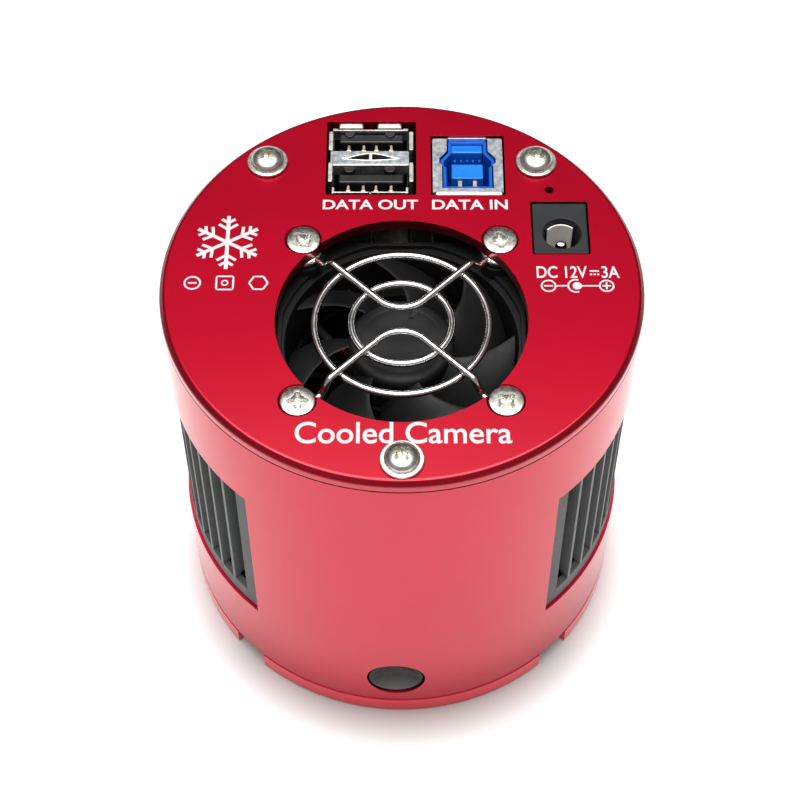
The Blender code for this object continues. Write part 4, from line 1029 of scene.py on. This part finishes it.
def lettering(words, low, high, weight=0.0):
    """Words that fill a rectangle on the cover, given by its two corners."""
    curve = bpy.data.curves.new("words", "FONT")
    curve.body = words
    curve.extrude = 0.01
    curve.offset = weight
    curve.resolution_u = 6
    text = solid(linked("words", curve))
    points = [vert.co for vert in text.data.vertices]
    for axis, (start, end) in enumerate(((low[0], high[0]), (low[1], high[1]),
                                         (INK_LOW, INK_HIGH))):
        least = min(point[axis] for point in points)
        most = max(point[axis] for point in points)
        for point in points:
            point[axis] = MM * (start + (point[axis] - least) / (most - least) * (end - start))
    return text


def line(start, end, width, lift=0.0):
    """A stroke of ink; crossing strokes get different lifts."""
    way = Vector(end) - Vector(start)
    side = Vector((-way.y, way.x)).normalized() * width / 2
    a, b = Vector(start), Vector(end)
    return prism("line", [[tuple(a + side), tuple(a - side), tuple(b - side), tuple(b + side)]],
                 INK_LOW, INK_HIGH + lift)


def loop(at, radius, width, start=0.0, end=360.0):
    middle_angle = (start + end) / 2
    return [prism("loop", [sector(radius - width, radius, a, b, 24)], INK_LOW, INK_HIGH, at)
            for a, b in ((start, middle_angle), (middle_angle, end))]


def frame_of_lines(corners):
    return [line(start, end, 0.3) for start, end in zip(corners, corners[1:] + corners[:1])]


def print_on(name, parts):
    piece(joined(name, parts), [], None, INK)


def prints():
    print_on("print_data_out", [lettering("DATA OUT", (-13.05, 14.95), (2.68, 17.05), 0.02)])
    print_on("print_data_in", [lettering("DATA IN", (5.0, 14.95), (17.5, 17.05), 0.02)])
    print_on("print_name", [lettering("Cooled Camera", (-16.3, -31.6), (16.7, -27.6), 0.01)])
    print_on("print_power", [lettering("DC 12V", (21.7, 0.45), (29.8, 2.9), 0.012),
                             lettering("3A", (32.15, 0.45), (35.0, 2.9), 0.012),
                             line((30.25, 1.9), (31.75, 1.9), 0.3)] + [
        line((start, 1.2), (end, 1.2), 0.3)
        for start, end in ((30.25, 30.6), (30.82, 31.18), (31.4, 31.75))])
    y = -1.15
    polarity = loop((23.5, y), 1.25, 0.28) + loop((32.8, y), 1.25, 0.28)
    polarity += loop((27.9, y), 1.4, 0.28, 70, 290) + [
        line((22.8, y), (24.2, y), 0.28), line((32.1, y), (33.5, y), 0.28),
        line((32.8, y - 0.7), (32.8, y + 0.7), 0.28, 0.01), line((24.75, y), (26.5, y), 0.26),
        line((28.85, y), (31.55, y), 0.26),
        prism("dot", [arc((28.1, y), 0.75, 0, 345, 23)], INK_LOW, INK_HIGH)]
    print_on("print_polarity", polarity)

    centre = Vector((-28.4, 7.9))
    flake = []
    for number in range(6):
        way = Vector(polar(1, 90 + 60 * number))
        if number < 3:
            flake.append(line(centre - way * 5.6, centre + way * 5.6, 0.62, 0.01 * number))
        for reach, arm in ((2.7, 1.9), (4.1, 1.35)):
            for side in (-1, 1):
                branch = Vector(polar(arm, 90 + 60 * number + side * 55))
                flake.append(line(centre + way * reach, centre + way * reach + branch, 0.5,
                                  0.04 + 0.01 * side))
    print_on("print_snowflake", flake)

    y = -0.55
    marks = loop((-33.6, y), 1.4, 0.3) + [line((-34.3, y), (-32.9, y), 0.3)]
    marks += frame_of_lines(rounded(1.35, 1.35, 0.3, (-28.4, y)))
    marks += loop((-28.4, y), 0.6, 0.25)
    marks += frame_of_lines(arc((-23.0, y), 1.5, 0, 300, 5))
    print_on("print_marks", marks)


# ---- nodes kept from CAD

KEPT = (
    (DARK_METAL, "black_anodised", ("sensor_chamber",)),
    (DARK_METAL, "dark_aluminium", ("heat_sink",)),
    (RUBBER, "rubber", ("chamber_o_ring", "plug_o_ring")),
    (GLASS, "coated_glass", ("sensor_cover_glass",)),
    (CERAMIC, "ceramic", ("sensor_package", "cooler_upper_stage", "cooler_lower_stage")),
    (SILICON, "sensor_silicon", ("image_sensor",)),
    (BOARD, "circuit_board", ("sensor_board", "main_board")),
    (COPPER, "copper", ("cold_finger", "fan_stator")),
    (BLACK, "black_plastic", ("insulating_frame",)),
    (DESICCANT, "desiccant", ("desiccant_tablet",)),
    (MAGNET, "magnet", ("fan_magnet",)),
    (STEEL, "steel", ("fan_shaft",)),
    (BRASS, "brass", ("fan_bearing",)),
)


def kept_nodes():
    for surface, slot, names in KEPT:
        for name in names:
            node = frame["nodes"][name]
            node.data.materials.clear()
            node.data.materials.append(surface.material)


# ---- studio around

def floor():
    """A pale, softly glowing table top, with a painted contact shadow under the camera's edge, and
    darker far away.
    """
    surface = Surface("studio_floor", (0.86, 0.86, 0.86), 0.75)
    surface.vary_roughness(40, 0.7, 0.8)
    away = surface.node("ShaderNodeVectorMath", operation="DISTANCE")
    away.inputs[1].default_value = FLOOR_MIDDLE
    surface.link(surface.coordinates(), away.inputs[0])
    reach = surface.map_range(away.outputs["Value"], From_Max=FLOOR_REACH)
    # Painted contact shadow: the floor's colour and its glow both darken close to the camera's edge
    shade = surface.ramp(reach, [(distance / FLOOR_REACH, color)
                                 for distance, color in FLOOR_SHADES])
    for socket in ("Base Color", "Emission Color"):
        surface.link(shade, surface.shader.inputs[socket])
    surface.set("Emission Strength", FLOOR_GLOW)
    corners = [(x * FLOOR_HALF, y * FLOOR_HALF) for x, y in ((-1, -1), (1, -1), (1, 1), (-1, 1))]
    table = prism("floor", [corners], -FLOOR_THICK, 0)
    table.data.materials.append(surface.material)


def tent():
    """World light: a soft round panel overhead in a dim room."""
    world = bpy.data.worlds.new("studio")
    bpy.context.scene.world = world
    world.use_nodes = True
    sky = Nodes(world.node_tree)
    place = sky.node("ShaderNodeTexCoord").outputs["Generated"]

    def toward(direction, start, end, low, high):
        """Strength that goes from low to high as a ray turns towards a direction."""
        dot = sky.node("ShaderNodeVectorMath", operation="DOT_PRODUCT")
        dot.inputs[1].default_value = Vector(direction).normalized()
        sky.link(place, dot.inputs[0])
        return sky.map_range(dot.outputs["Value"], interpolation_type="SMOOTHSTEP",
                             From_Min=start, From_Max=end, To_Min=low, To_Max=high)

    panel = toward((-0.03, 0.02, 1.0), cos(radians(PANEL_OUTER)), cos(radians(PANEL_INNER)), 0.0,
                   PANEL_LIGHT)
    room = toward((0, -1, 0), -1.0, 1.0, ROOM_BACK, ROOM_FRONT)
    total = sky.node("ShaderNodeMath", operation="ADD")
    sky.link(panel, total.inputs[0])
    sky.link(room, total.inputs[1])
    background = sky.tree.nodes["Background"]
    background.inputs["Color"].default_value = (1.0, 0.99, 0.98, 1.0)
    sky.link(total.outputs["Value"], background.inputs["Strength"])


def studio():
    floor()
    tent()
    camera = bpy.data.cameras.new("camera")
    camera.lens, camera.sensor_width = CAMERA_LENS, CAMERA_SENSOR
    obj = bpy.data.objects.new("camera", camera)
    obj.location = CAMERA_AT
    obj.rotation_euler = (radians(CAMERA_TILT), 0, 0)
    bpy.context.scene.collection.objects.link(obj)
    bpy.context.scene.camera = obj
    bpy.context.scene.view_settings.view_transform = "Standard"


front_plate()
front_window()
casing()
vent_grille("vent_grille_right", 0)
vent_grille("vent_grille_left", 180)
plug()
fan_frame()
fan_rotor()
fan_lead()
finger_guard()
rear_cover()
screws()
usb_output()
usb_input()
power_jack()
status_light()
prints()
kept_nodes()
studio()
